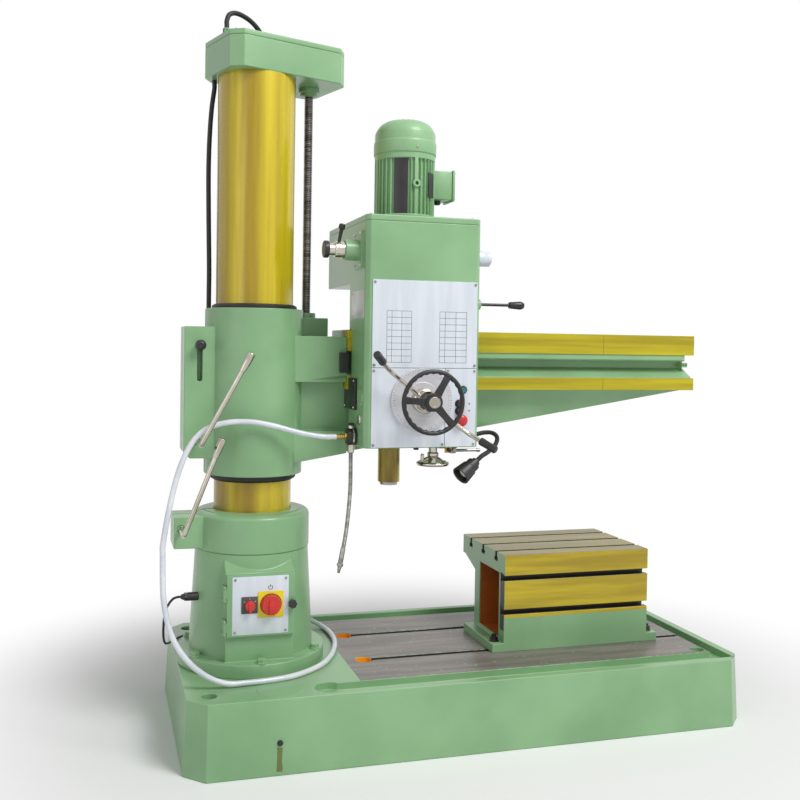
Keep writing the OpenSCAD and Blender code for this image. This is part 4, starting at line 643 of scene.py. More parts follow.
def addCord(name, facts):
    line = smoothLine(facts["route"], 8)
    bodies = facts["bodies"]
    shape = bmesh.new()
    tubeAlong(shape, line, facts["radius"], 18)
    cord = makePiece(name, shape, facts.get("finish", "whiteHose"), bodies[0] if len(bodies) == 1 else None,
                     [facts["stands"]])
    if len(bodies) == 2:
        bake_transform(cord)


for cordName, cordFacts in cords.items():
    addCord(cordName, cordFacts)


# castings, copied from the frame with rounded edges
castings = dict(
    baseCasting=dict(node="base_casting", body="base", finish="basePaint", soft=3.0),
    boxTable=dict(node="box_table", body="base", finish="tablePaint", soft=1.6),
    pedestal=dict(node="pedestal", body="base", finish="sagePaint", soft=3.0),
    cabinetDoor=dict(node="cabinet_door", body="door", finish="sagePaint", soft=1.2),
    clampRing=dict(node="clamp_ring", body="column", finish="sagePaint", soft=3.0),
    topCap=dict(node="top_cap", body="column", finish="sagePaint", soft=3.0),
    capLid=dict(node="cap_lid", body="column", finish="sagePaint", soft=3.5),
    armCasting=dict(node="arm_casting", body="arm", finish="sagePaint", soft=3.0),
    nutHousing=dict(node="nut_housing", body="arm", finish="sagePaint", soft=2.5),
    armWays=dict(node="arm_ways", body="arm", finish="oiledRail", soft=1.0, slot="oiled_iron"),
    headCasting=dict(node="head_casting", body="head", finish="sagePaint", soft=2.5),
    headLid=dict(node="head_lid", body="head", finish="sagePaint", soft=3.5),
    panelPlates=dict(node="panel_plates", body="head", finish="plate", soft=0.5, slot="white_plate"),
)


def addCastings():
    for name, facts in castings.items():
        shape = castCopy(facts["node"], facts["soft"])
        makePiece(name, shape, facts["finish"], facts["body"], [facts["node"]], even=True)


addCastings()
print("castings dressed:", len(castings))


# column with its wipers, each given by its outer radius and the heights of its base and lip
columnTube = dict(low=561, high=2178, radius=130, bore=105, rows=24, steps=128)
wipers = ((143, 1406.3, 1421.5), (145, 855.7, 834.5))


def addColumn():
    low, high, r, bore, rows, steps = columnTube.values()
    shape = bmesh.new()
    outside = [(r, low + (high - low) * k / rows) for k in range(rows + 1)]
    turned(shape, [*outside, (bore, high), (bore, low)], (0, 0, 0), steps=steps, bored=True)
    makePiece("columnTube", shape, "oiledColumn", "column", ["outer_column"])
    shape = bmesh.new()
    for outer, base, lip in wipers:
        tall = abs(lip - base)
        profile = [(r + 0.6, 0), (outer, 0), (outer, 0.62 * tall), (outer - 3, 0.78 * tall), (r + 4, tall),
                   (r + 0.6, 0.96 * tall)]
        turned(shape, profile, (0, 0, base), (0, 0, lip - base), 96, bored=True)
    makePiece("columnWipers", shape, "blackRubber", "arm", ["column_wipers"])


addColumn()


# lead screw with its thread, and the bearing at its top
leadScrew = dict(x=191.16, y=62.11, radius=15, depth=2.6, pitch=6.0, low=1200, high=2150, steps=24)


def addLeadScrew():
    x, y, radius, depth, pitch, low, high, steps = leadScrew.values()
    shape = bmesh.new()
    rows = int((high - low) / (pitch / 6))
    rings = []
    for k in range(rows + 1):
        z = low + k * pitch / 6
        ring = []
        for s, t in enumerate(around(steps)):
            phase = (z / pitch + s / steps) % 1
            cut = min(1, max(0, 2 - abs(phase - 0.5) * 8)) * depth
            r = radius - cut * (0 < k < rows)
            ring.append(shape.verts.new((x + r * math.cos(t), y + r * math.sin(t), z)))
        rings.append(ring)
    skin(shape, rings)
    turned(shape, [(10, 0), (10, 88), (9, 88.5), (0, 88.5)], (x, y, high - 0.5), steps=32)
    makePiece("leadScrew", shape, "screwSteel", "screw", ["lead_screw"], crease=50)
    shape = bmesh.new()
    profile = [(15.3, 0), (26, 0), (30, 4), (30, 12), (36, 14), (36, 27.7), (15.3, 27.7)]
    turned(shape, profile, (x, y, high), steps=48, bored=True)
    makePiece("screwBearing", shape, "sagePaint", "column", ["screw_bearing"])


addLeadScrew()
print("column and lead screw made")


# clamp levers: shaft, elbow, rod and a flared end cut square
clampLevers = dict(
    columnLever=dict(node="column_clamp_lever", body="column_lever", pivot=(-245, 683.3), plane=-200,
                     tilt=21.1),
    armLever=dict(node="arm_clamp_lever", body="arm_lever", pivot=(-198, 971), plane=-228, tilt=28.4),
)
leverSize = dict(length=328, rod=8, grip=13, gripLength=66, shaft=12, lugFront=-85, deep=58)


def addClampLevers():
    length, rod, r, g, shaft, lugFront, deep = leverSize.values()
    back = Vector((0, 1, 0))
    for name, facts in clampLevers.items():
        x, z = facts["pivot"]
        foot = Vector((x, facts["plane"], z))
        tilt = math.radians(facts["tilt"])
        aim = Vector((math.sin(tilt), 0, math.cos(tilt)))
        shape = bmesh.new()
        stem = [(0, 0), (shaft, 0), (shaft, deep), (11, deep + 2), (rod + 1, deep + 4), (rod, deep + 8),
                (rod, deep + lugFront - facts["plane"])]
        turned(shape, stem, (x, lugFront + deep, z), toFront, 28)
        bend = [foot + back * 14, foot + back * 7 + aim * 1.5, foot + aim * 5 + back * 1.5, foot + aim * 14,
                foot + aim * 60, foot + aim * (length - g + 6)]
        tubeAlong(shape, smoothLine(bend, 5), rod, 20)
        flare = [(rod - 0.5, 0), (rod + 1, 1), (r - 2, 14), (r - 0.4, g * 0.5), (r, g - 4),
                 (r - 1.2, g - 1.5), (r - 4, g), (0, g)]
        turned(shape, flare, foot + aim * (length - g), aim, 28)
        makePiece(name, shape, "chrome", facts["body"], [facts["node"]])


addClampLevers()


# ball knob in the arm's slot
slotKnob = dict(x=-190, face=-85, z=1283, ball=18, reach=34)


def addSlotKnob():
    x, face, z, r, reach = slotKnob.values()
    place = (x, face + 8, z)
    shape = bmesh.new()
    turned(shape, [(0, 0), (8, 0), (8, 14), (11, 16), (11, 19)], place, toFront, 28, 1)
    turns = [math.pi * k / 16 for k in range(3, 15)]
    ball = [(math.sin(t) * r, reach - math.cos(t) * r) for t in turns]
    dent = [(5.5, reach + 0.86 * r), (5, reach + 0.8 * r), (0, reach + 0.8 * r)]
    turned(shape, [(0, ball[0][1]), *ball, *dent], place, toFront, 32)
    makePiece("slotKnob", shape, ["blackPlastic", "machined"], "slot_knob", ["slot_knob"])


addSlotKnob()
print("levers and knob made")


# feed dial, hub and two cranked levers
feed = dict(x=498, z=1115, plateFace=-303, dial=104, dialFace=-315.3, hub=40, hubFace=-372, turns=(143, 323),
            path=((26, -350), (100, -360), (160, -371), (186, -388), (212, -419)),
            gripPath=((205, -411.5), (247, -458)), ticks=72, tickEnd=101.5, tickHalf=0.35, play=0.4)


def atFeed(y):
    return Vector((feed["x"], y, feed["z"]))


def radial(turn, reach, y):
    return atFeed(y) + spoke(math.radians(turn), True)[0] * reach


def addFeedHandle():
    d, h = feed["dial"], feed["hub"]
    shape = bmesh.new()
    foot = feed["plateFace"] - feed["play"]
    thick = foot - feed["dialFace"]
    dial = [(30, 0), (d - 1, 0), (d, 1), (d, thick - 1.5), (d - 1.5, thick), (90, thick), (89, thick - 0.8),
            (60, thick - 0.8), (58, thick + 2), (30, thick + 2)]
    turned(shape, dial, atFeed(foot), toFront, 96, 0, bored=True)
    tall = feed["plateFace"] - feed["hubFace"]
    hub = [(11, 0), (25, 0), (h, 1), (h, tall - 24), (h - 1.5, tall - 22), (h - 6, tall - 20),
           (h - 6, tall - 2), (h - 8, tall), (11, tall)]
    turned(shape, hub, atFeed(feed["plateFace"]), toFront, 64, 1, bored=True)
    for k, t in enumerate(around(feed["ticks"])):
        tick = rectangle(96 if k % 2 else 91.5, -feed["tickHalf"], feed["tickEnd"], feed["tickHalf"])
        prism(shape, tick, atFeed(feed["dialFace"] + 0.3), *spoke(t, True), 0.45, 3)
    for turn in feed["turns"]:
        tubeAlong(shape, smoothLine([radial(turn, *p) for p in feed["path"]], 6), 7, 20, 1)
        start, end = (radial(turn, *p) for p in feed["gripPath"])
        run = (end - start).length
        grip = [(7.2, 0), (11.6, 0), (12.6, 1.2), (13, 8), (12.2, run * 0.35), (12.2, run * 0.6),
                (13, run - 8), (12.4, run - 3), (9.5, run - 0.6), (0, run)]
        turned(shape, grip, start, end - start, 28, 2)
    sleeve = [(10.2, -100), (25, -100), (25, 2), (10.2, 2)]
    turned(shape, sleeve, atFeed(feed["plateFace"]), toFront, 40, 1, bored=True)
    makePiece("feedHandle", shape, ["dialSilver", "chrome", "blackPlastic", "ink"], "feed_handle",
              ["feed_handle"])


addFeedHandle()


# traverse wheel with finger hollows along the inside of its rim
wheel = dict(plane=-420, rim=8, middle=96, spokes=(60, 176, 312), lobes=26, lobeDepth=2.6, hubEnd=-372.4,
             shaft=10, shaftBack=-177, shaftLength=200)


def addTraverseWheel():
    plane = wheel["plane"]
    shape = bmesh.new()
    rings = []
    for t in around(156):
        out = spoke(t, True)[0]
        ring = []
        for a in around(16):
            hollow = max(0, -math.cos(a)) * (0.5 + 0.5 * math.cos(wheel["lobes"] * t))
            r = wheel["rim"] - wheel["lobeDepth"] * hollow
            point = atFeed(plane + r * math.sin(a)) + out * (wheel["middle"] + r * math.cos(a))
            ring.append(shape.verts.new(point))
        rings.append(ring)
    skin(shape, rings, 0, True)
    for turn in wheel["spokes"]:
        outline = [(14, -14), (60, -10), (94, -12), (94, 12), (60, 10), (14, 14)]
        prism(shape, outline, atFeed(plane + 5), *spoke(math.radians(turn), True), 10, 0, 2.5)
    tall = wheel["hubEnd"] - plane + 10
    hub = [(10.5, 0), (22, 0), (24, 2), (24, tall - 18), (29, tall - 15), (29, tall - 4), (27, tall - 1),
           (19.5, tall), (19.5, tall - 2), (10.5, tall - 2)]
    turned(shape, hub, atFeed(wheel["hubEnd"]), toFront, 56, 0, bored=True)
    cap = [(0, 0), (18.6, 0), (19, 1), (19, 5), (17.5, 6.6), (12, 7), (11.4, 6.4), (0, 6.4)]
    turned(shape, cap, atFeed(plane - 9), toFront, 40, 1)
    peg(shape, wheel["shaft"], 0, wheel["shaftLength"], atFeed(wheel["shaftBack"]), toFront, 28, 1)
    makePiece("traverseWheel", shape, ["blackPlastic", "chrome"], "traverse_wheel", ["traverse_wheel"])


addTraverseWheel()
print("feed dial and wheel made")


# quill and spindle, as the frame has them
def addQuill():
    makePiece("quillSleeve", castCopy("quill", 0), "oiledQuill", "quill", ["quill"])
    shape = castCopy("spindle", 0.6, 2)
    makePiece("spindleNose", shape, "machined", "spindle", ["spindle"], even=True)


addQuill()


# fine feed wheel, its bracket and the lock rod under the head
underHead = dict(y=-215, z=960)
fineWheel = dict(x=572, z=899, radius=56, rim=7, spokes=5, firstSpoke=0.3)
feedBracket = dict(plugX=512, blockX=(586, 650), blockY=(-236, -194), tongueX=(604, 628),
                   tongueY=(-244, -238))
lockRod = dict(x=640, z=941)


def addFineWheel():
    x, z, r, rim, spokes, firstSpoke = fineWheel.values()
    place = Vector((x, underHead["y"], z))
    up = Vector(toTop)
    shape = bmesh.new()
    loop = [(r - rim + rim * math.cos(t), rim * math.sin(t)) for t in around(16)]
    turned(shape, loop, place, steps=64, bored=True)
    for t in around(spokes, firstSpoke):
        out = spoke(t)[0]
        line = [place + out * 12 + up * 18, place + out * 28 + up * 11, place + out * (r - rim)]
        tubeAlong(shape, smoothLine(line, 5), lambda share: 6.5 - 1.5 * share, 12)
    hub = [(0, -3), (13, -3), (16, 2), (16, 18), (20, 24), (20, 34), (15, 38), (15, 60.4), (0, 60.4)]
    turned(shape, hub, place)
    crank = [(0, -4), (6, -4), (6, 4), (4, 6), (4, 10), (6.4, 11), (6, 30), (4.5, 34), (0, 34)]
    turned(shape, crank, place + Vector((14 - r, -14, 0)), steps=24)
    makePiece("fineFeedWheel", shape, "chrome", "fine_feed_wheel", ["fine_feed_wheel"])


def addFeedBracket():
    y, bottom = underHead.values()
    plugX, blockX, blockY, tongueX, tongueY = feedBracket.values()
    shape = bmesh.new()
    plugProfile = [(0, 0), (9, 0), (9, 10), (6, 14), (6, 15.5), (0, 15.5)]
    turned(shape, plugProfile, (plugX, y, bottom - 15), steps=6)
    for index, xs, ys, drop, soft in ((1, blockX, blockY, 10, 2), (2, tongueX, tongueY, 24, 1)):
        block(shape, (xs[0], ys[0], bottom - drop), (xs[1], ys[1], bottom + 0.4), index, soft)
    peg(shape, 7, 0, 12, (sum(tongueX) / 2, tongueY[0] + 0.5, bottom - 14), toFront, 24)
    makePiece("feedBracket", shape, ["blackPlastic", "darkSteel", "brass"], "head")


def addLockRod():
    rod = Vector((lockRod["x"], underHead["y"], lockRod["z"]))
    shape = bmesh.new()
    nut = [(0, 0), (12, 0), (13, 1), (13, 15), (11.5, 17), (11.5, 18.6), (0, 18.6)]
    turned(shape, nut, rod - Vector((0, 0, 9)), steps=6)
    peg(shape, 8, 0, 58, rod)
    turned(shape, [(5, 0), (5, 88), (6.5, 89), (6.5, 99), (5.5, 100), (0, 100)], rod, toRight, 20)
    makePiece("lockRod", shape, "machined", "lock_rod", ["lock_rod"])


addFineWheel()
addFeedBracket()
addLockRod()
print("lower head pieces made")


# speed lever on the left, speed knob and direction lever on the right
speedLever = dict(boss=(253.7, -217, 1598), root=(-18, -6, 20), tip=(-12, -22, 72), shaft=10, shaftLength=82)
speedKnob = dict(place=(700, -250, 1585), gripX=(722, 749.5), gripHalf=(3, 26.5))
directionLever = dict(place=(708, -250, 1432), ball=11)


def addSpeedLever():
    boss = Vector(speedLever["boss"])
    root, tip = boss + Vector(speedLever["root"]), boss + Vector(speedLever["tip"])
    shape = bmesh.new()
    collar = [(0, 0), (26, 0), (27, 1), (27, 29), (25.5, 31), (20, 31.5), (20, 52), (0, 52)]
    turned(shape, collar, boss, toLeft, 48)
    cap = [(0, 51), (26, 51), (28, 53), (28, 64), (26, 66.5), (0, 66.8)]
    turned(shape, cap, boss, toLeft, 48, 1)
    peg(shape, speedLever["shaft"], 0, speedLever["shaftLength"], boss + Vector((-1, 0, 0)), toRight)
    tubeAlong(shape, [root, root.lerp(tip, 0.5), tip], lambda share: 5 + 1.5 * share, 18, 1)
    end = [(0, -11), (6, -10), (10, -6), (11, 0), (10.4, 5), (8, 9), (0, 10.5)]
    turned(shape, end, tip, tip - root, 28, 1)
    makePiece("speedLever", shape, ["chrome", "blackPlastic"], "speed_lever", ["speed_lever"])


def addSpeedKnob():
    y, z = speedKnob["place"][1:]
    (left, right), (halfY, halfZ) = speedKnob["gripX"], speedKnob["gripHalf"]
    shape = bmesh.new()
    profile = [(0, -28), (10, -28), (10, 0.4), (26, 0.4), (27, 1.5), (27, 20), (24, 24), (22, 48),
               (20, 50), (0, 50)]
    turned(shape, profile, speedKnob["place"], toRight)
    block(shape, (left, y - halfY, z - halfZ), (right, y + halfY, z + halfZ), 0, 1.6)
    makePiece("speedKnob", shape, "plate", "speed_knob", ["speed_knob"])


def addDirectionLever():
    r = directionLever["ball"]
    turns = [math.pi * k / 14 for k in range(12)]
    ball = [(math.sin(t) * r, -math.cos(t) * r) for t in turns]
    stem = [(5, 11), (5, 114), (10, 114.5), (11, 116), (13.6, 150), (14, 154), (13, 160),
            (9.5, 167), (0, 168)]
    shape = bmesh.new()
    turned(shape, ball + stem, directionLever["place"], toRight, 28)
    makePiece("directionLever", shape, "blackPlastic", "direction_lever", ["direction_lever"])


addSpeedLever()
addSpeedKnob()
addDirectionLever()


# push buttons and the stop mushroom on the panel
buttons = dict(
    startButton=dict(node="start_button", place=(642, 1149), finish="tealPlastic", slot="teal_plastic"),
    upButton=dict(node="up_button", place=(627.5, 1104), finish="blackPlastic", slot="black_plastic"),
    downButton=dict(node="down_button", place=(627.5, 1080), finish="blackPlastic", slot="black_plastic"),
    stopButton=dict(node="stop_button", place=(634, 1050), finish="redPlastic", slot="red_plastic",
                    mushroom=True),
)


def addButtons():
    mushroom = [(0, -14), (9, -14), (9, 10), (17, 10.5), (19, 12.5), (19, 17), (17, 21), (12, 24), (6, 25.4),
                (0, 25.8)]
    push = [(0, -16), (9, -16), (9, 8.4), (8.4, 9.6), (7, 10), (5.5, 9.4), (0, 9)]
    bezel = [(9.4, -0.4), (13.5, -0.4), (13.5, 2), (12.5, 3.4), (9.4, 3.4)]
    bezels = bmesh.new()
    for name, facts in buttons.items():
        x, z = facts["place"]
        profile, steps = (mushroom, 48) if "mushroom" in facts else (push, 36)
        shape = bmesh.new()
        turned(shape, profile, (x, feed["plateFace"], z), toFront, steps)
        makePiece(name, shape, facts["finish"], facts["node"], [facts["node"]])
        turned(bezels, bezel, (x, feed["plateFace"], z), toFront, 36, bored=True)
    makePiece("buttonBezels", bezels, "blackPlastic", "head")


addButtons()
print("selectors and buttons made")


# drive motor with fins, terminal box and plates, and a black band of painted shade in the fin gap, under a
# domed cowl
motor = dict(x=488, y=-120, foot=1709.2, finLow=1727, finHigh=1908, body=92, fins=102, count=36,
             gap=(228, 262), ribs=(275, 95, 185), eyeZ=1827, namePlate=312, namePlateZ=1786)
terminalBox = dict(low=(575, -164, 1788), high=(644, -76, 1884), lidX=(644.5, 653.5), over=4, inset=10)
# the cowl's vent holes are drawn as black discs of painted shade
cowl = dict(low=1931, radius=106, screwTurn=-85, screwZ=16, vent=3.4,
            ventShadeDiscs=((28, 10, 117.6, 0.013), (45, 16, 116.1, 0.117), (61, 22, 112.7, 0.25)))


def arcBand(turns, outer, inner):
    turns = [math.radians(turn) for turn in turns]
    rim = [(outer * math.cos(t), outer * math.sin(t)) for t in turns]
    return rim + [(inner * math.cos(t), inner * math.sin(t)) for t in reversed(turns)]


def atMotor(z):
    return Vector((motor["x"], motor["y"], z))


def addMotor():
    foot, low, body, top = motor["foot"], motor["finLow"], motor["body"], cowl["low"]
    tall = motor["finHigh"] - low
    gapStart, gapEnd = motor["gap"]
    shape = bmesh.new()
    barrel = [(0, foot), (104, foot), (106, 1711), (106, 1724), (103, low), (body, low + 1),
              (body, top), (0, top)]
    turned(shape, barrel, atMotor(0), steps=96)
    for t in around(motor["count"], math.pi / motor["count"]):
        if not gapStart < math.degrees(t) < gapEnd:
            fin = [(88, -3), (100.6, -1.6), (motor["fins"], 0), (100.6, 1.6), (88, 3)]
            prism(shape, fin, atMotor(low), *spoke(t), tall + 20)
    for turn in motor["ribs"]:
        rib = [(86, -7), (102, -6), (102, 6), (86, 7)]
        prism(shape, rib, atMotor(low), *spoke(math.radians(turn)), tall + 22, 0, 0.8)
    collar = [(90, 1908), (102, 1912), (103, 1925), (103, 1934), (90, 1938)]
    turned(shape, collar, atMotor(0), steps=96, bored=True)
    out = spoke(math.radians(motor["ribs"][0]))[0]
    eye = atMotor(motor["eyeZ"]) + out * 94
    turned(shape, [(6, 0), (14, 0), (14, 12), (12, 14), (7, 14), (6, 13)], eye, out, 28, 0, bored=True)
    peg(shape, 6, 0, 8, eye, out, 20, 1)
    addTerminalBox(shape)
    # painted shade: a black band on the smooth finless panel, where that panel shows only shade and dark
    # reflection
    paintedShadeBand = arcBand(range(gapStart + 3, gapEnd - 1, 2), body + 5, body - 1)
    prism(shape, paintedShadeBand, atMotor(low + 2), toRight, (0, 1, 0), tall + 4, 1)
    out, side = spoke(math.radians(motor["namePlate"]))
    corner = atMotor(motor["namePlateZ"]) + out * 100
    prism(shape, rectangle(-16, 0, 16, 82), corner, side, toTop, 3, 1, 0.5)
    makePiece("driveMotor", shape, ["sagePaint", "blackPlastic", "machined"], "head", ["drive_motor"])


def addTerminalBox(shape):
    low, high = terminalBox["low"], terminalBox["high"]
    (near, face), over, inset = terminalBox["lidX"], terminalBox["over"], terminalBox["inset"]
    lidY, lidZ = (low[1] - over, high[1] + over), (low[2] - over - 1, high[2] + over)
    block(shape, low, high, 0, 2.5)
    block(shape, (near, lidY[0], lidZ[0]), (face, lidY[1], lidZ[1]), 0, 2.5)
    screwRows(shape, [face], grown(lidY, -inset), grown(lidZ, -9), toRight, 4, 2)
    turned(shape, [(0, 0), (12, 0), (12, 10), (9, 14), (0, 14)], (606, -120, low[2] + 0.5), (0, 0, -1), 20, 1)


def addCowl():
    c, low = cowl["radius"], cowl["low"]
    shape = bmesh.new()
    profile = [(c - 4, 0.4), (c - 0.5, 0.4), (c, 1.5), (c, 38), (c - 0.6, 42), (c - 3.4, 45), (c - 3.6, 70),
               (c - 6, 78), (c - 13, 91), (c - 24, 103), (c - 38, 111), (c - 56, 115.5),
               (c - 74, 117.6), (0, 118)]
    turned(shape, profile, atMotor(low), steps=96)
    for t in around(4, math.radians(cowl["screwTurn"])):
        out = spoke(t)[0]
        screwHead(shape, atMotor(low + cowl["screwZ"]) + out * (c - 0.4), out, 4.5, 1)
    # painted shade: black discs where the vent holes would be
    for ring, count, high, lean in cowl["ventShadeDiscs"]:
        for t in around(count):
            out = spoke(t)[0]
            place = atMotor(low + high - 0.1) + out * ring
            peg(shape, cowl["vent"], 0, 0.5, place, out * lean + Vector(toTop), 10, 2)
    makePiece("motorCowl", shape, ["sagePaint", "machined", "blackPlastic"], "head", ["motor_cowl"])


addMotor()
addCowl()
print("motor made")


# coolant valve, tap, gooseneck and nozzle
headSide = 308  # left face of the head
valve = dict(x=293, y=-195, z=990, radius=29, tapZ=37.4)
goose = dict(route=[(293, -195, 934.7), (293, -195, 915), (293, -196, 895), (292, -200, 860),
                    (290, -206, 820), (284, -214, 760), (276, -222, 700), (268, -228, 655), (262, -231, 627)],
             radius=7, depth=1.1, ribs=96)


def ribbedLine(shape, points, radius, depth, ribs):
    line = smoothLine(points, 24)
    lengths = runLengths(line)
    even, k, count = [], 0, ribs * 4
    for s in range(count + 1):
        target = lengths[-1] * s / count
        while k < len(line) - 2 and lengths[k + 1] < target:
            k += 1
        span = max(lengths[k + 1] - lengths[k], 1e-9)
        even.append(line[k].lerp(line[k + 1], (target - lengths[k]) / span))

    def ribbed(share):
        return radius - depth * (0.5 - 0.5 * math.cos(2 * math.pi * ribs * share)) ** 2

    tubeAlong(shape, even, ribbed)


def addValve():
    x, y, z, r, tapZ = valve.values()
    side = (headSide, y, z)
    shape = bmesh.new()
    turned(shape, [(0, 0), (r - 2, 0), (r, 2), (r, 9)], side, toLeft, 48)
    peg(shape, r - 1.6, 9, 14, side, toLeft, 48, 1)
    turned(shape, [(0, 14), (r, 14), (r, 27), (r - 3, 30), (0, 30)], side, toLeft, 48)
    turned(shape, [(0, 29), (12, 29), (12, 36), (11, 37), (0, 37)], side, toLeft, 6, 2)
    barbs = [(0, 36), (8, 36), (8.6, 40), (6.4, 44), (8.6, 46), (6.4, 51), (8.6, 53), (6.4, 58), (6.2, 64.8),
             (0, 64.8)]
    turned(shape, barbs, side, toLeft, 28, 2)
    for stub in ([(11, -20), (11, -52), (9, -54.5), (7.5, -54.9), (0, -54.9)],
                 [(0, 20), (11, 20), (11, 35), (9.5, 37), (0, 37)]):
        turned(shape, stub, (x, y, z), steps=28, index=1)
    makePiece("coolantValve", shape, ["blackPlastic", "chrome", "brass"], "head", ["coolant_valve"])
    shape = bmesh.new()
    tap = z + tapZ
    stem = [(0, -20), (5, -20), (5, 0), (9, 0), (9, 6), (7.5, 8), (0, 8)]
    turned(shape, stem, (x, y, tap), steps=28)
    block(shape, (x - 5, y - 26, tap), (x + 5, y + 2, tap + 6.6), 0, 1.8)
    makePiece("valveTap", shape, "blackPlastic", "valve_tap", ["valve_tap"])


def addGooseneck():
    route, radius, depth, ribs = goose.values()
    shape = bmesh.new()
    ribbedLine(shape, route, radius, depth, ribs)
    before, tip = (Vector(p) for p in route[-2:])
    nozzle = [(6, -4), (8, -3), (8, 44), (7, 46), (10, 47), (10, 55), (7, 57), (6.4, 60), (4, 77), (2.6, 78),
              (2.4, 66), (0, 66)]
    turned(shape, nozzle, tip, tip - before, 24)
    peg(shape, 10.6, 46.5, 55.5, tip, tip - before, 6)
    makePiece("coolantPipe", shape, "machined", "head", ["coolant_pipe"], crease=60)


addValve()
addGooseneck()


# work lamp on its neck
lampNeck = dict(foot=(700.2, -118, 979), root=(716, -248, 908), aim=(-92, -32, -64), radius=8, depth=1.0,
                ribs=70, route=[(712.3, -118, 979), (722, -118, 979), (736, -115, 979), (770, -104, 983),
                                (808, -90, 988), (836, -90, 987), (845, -108, 979), (836, -140, 968),
                                (812, -178, 953), (776, -212, 936)])


def addLamp():
    root, aim = Vector(lampNeck["root"]), Vector(lampNeck["aim"]).normalized()
    route = [*lampNeck["route"], root - aim * 28, root - aim * 14, root - aim * 0.3]
    shape = bmesh.new()
    ribbedLine(shape, route, lampNeck["radius"], lampNeck["depth"], lampNeck["ribs"])
    nut = [(8.2, 0), (15.5, 0), (15.5, 8), (13, 11.8), (8.2, 12.2)]
    turned(shape, nut, lampNeck["foot"], toRight, 6, bored=True)
    makePiece("lampNeck", shape, "blackRubber", "head", ["lamp_arm"], crease=60)
    shape = bmesh.new()
    shade = [(0, 0), (11, 0), (15, 3), (15, 12), (20, 13), (22, 15), (22, 35), (25, 37), (27, 39), (32, 82),
             (31.6, 84), (27, 84), (25, 82), (23.5, 60), (0, 60)]
    turned(shape, shade, root, aim, 48)
    across, side, along = axisFrame(aim)
    for t in around(10):
        out = across * math.cos(t) + side * math.sin(t)
        fin = [(20, 16), (23.4, 17), (23.4, 34), (20, 35)]
        prism(shape, fin, root - out.cross(along) * 1.2, out, along, 2.4)
    turned(shape, [(20, 0), (20, 3), (18, 8), (12, 12), (0, 14)], root + aim * 59.5, aim, 36, 1)
    makePiece("lampHead", shape, ["blackPlastic", "lens"], "head", ["lamp_head"])


addLamp()
print("valve and lamp made")


# electrical door: plate, switches and latch
door = dict(face=-217.3, plate=((-94, 363), (87, 549)), main=(29.2, 458), mainFoot=-221.9,
            coolant=(-38.5, 458), coolantFoot=-221.2, latch=(98, 458), latchPoints=7, sign=(28, 512))


def addDoorPlate():
    face = door["face"]
    (x0, z0), (x1, z1) = door["plate"]
    shape = bmesh.new()
    raised(shape, rectangle(x0, z0, x1, z1), face, 1.2, 0, 0.4)
    screwRows(shape, (x0 + 9, x1 - 9), [face - 1.2], (z0 + 9, z1 - 9), toFront, 4, 1)
    x, z = door["main"]
    raised(shape, rectangle(-41, -42, 41, 42), face - 1.1, 4.0, 2, 1.6, (x, z))
    turned(shape, [(33, 0), (35, 0), (35, 0.6), (33, 0.6)], (x, face - 5.0, z), toFront, 48, 3, bored=True)
    x, z = door["coolant"]
    raised(shape, rectangle(-27, -27, 25, 27), face - 1.1, 3.4, 4, 1.4, (x, z))
    for turn in (35, 90, 145):
        out, side = spoke(math.radians(turn), True)
        prism(shape, rectangle(18, -0.7, 22.5, 0.7), (x, face - 4.4, z), out, side, 0.4)
    for outline in (arcBand(range(125, 416, 10), 7.5, 5.6), rectangle(-1, 1, 1, 9.5)):
        raised(shape, outline, face - 1.2, 0.3, 3, 0, door["sign"])
    makePiece("doorPlate", shape, ["plate", "machined", "yellowPlastic", "ink", "greyPlastic"], "door")


def addSwitches():
    x, z = door["main"]
    foot = door["mainFoot"]
    shape = bmesh.new()
    turned(shape, [(0, 0), (31, 0), (32, 1), (32, 12), (30, 16.5), (0, 17)], (x, foot, z), toFront, 56)
    for t in around(18):
        peg(shape, 2.6, 1.5, 12, Vector((x, foot, z)) + spoke(t, True)[0] * 30.6, toFront, 10)
    grip = [(-8, -30), (8, -30), (9, 8), (6, 16), (-6, 16), (-9, 8)]
    raised(shape, grip, foot - 15, 8, 0, 1.6, (x, z))
    makePiece("mainSwitch", shape, "redPlastic", "main_switch", ["main_switch"])
    x, z = door["coolant"]
    foot = door["coolantFoot"]
    deep = foot - next(boxOf("coolant_switch")).y
    shape = bmesh.new()
    knob = [(0, 0), (15.5, 0), (16, 0.8), (16, deep - 6), (14.5, deep - 4.5), (0, deep - 4)]
    turned(shape, knob, (x, foot, z), toFront)
    grip = [(-4, -22), (4, -22), (6, 4), (4, 12), (-4, 12), (-6, 4)]
    raised(shape, grip, foot - deep + 7, 7, 0, 1.2, (x, z))
    makePiece("coolantSwitch", shape, "redPlastic", "coolant_switch", ["coolant_switch"])


def addLatch():
    x, z = door["latch"]
    points = door["latchPoints"]
    low, high = boxOf("door_latch")
    star = []
    for t in around(points * 6):
        r = 13 + 2 * math.cos(points * t)
        star.append((r * math.cos(t), r * math.sin(t)))
    shape = bmesh.new()
    raised(shape, star, low.y + 13, 13, 0, 1.6, (x, z))
    peg(shape, 8, 0, high.y - low.y - 12, (x, high.y, z), toFront, 24)
    makePiece("doorLatch", shape, "blackPlastic", "door_latch", ["door_latch"])


addDoorPlate()
addSwitches()
addLatch()
print("door pieces made")


# bolts, screws, cover and drain plug of the base
flangeBolts = dict(count=6, ring=229, z=273, radius=15, height=15)
tableBolts = dict(x=(838, 1443), y=-137, z=258, radius=14, height=16)
levelScrews = dict(places=((-180, -357), (-180, 357), (1547, -299), (1547, 299)), z=190)
baseCover = dict(x=36, y=-350, radius=71)
drainPlug = dict(x=24, z=97, frontFoot=-430, taper=11, slopeZ=95)


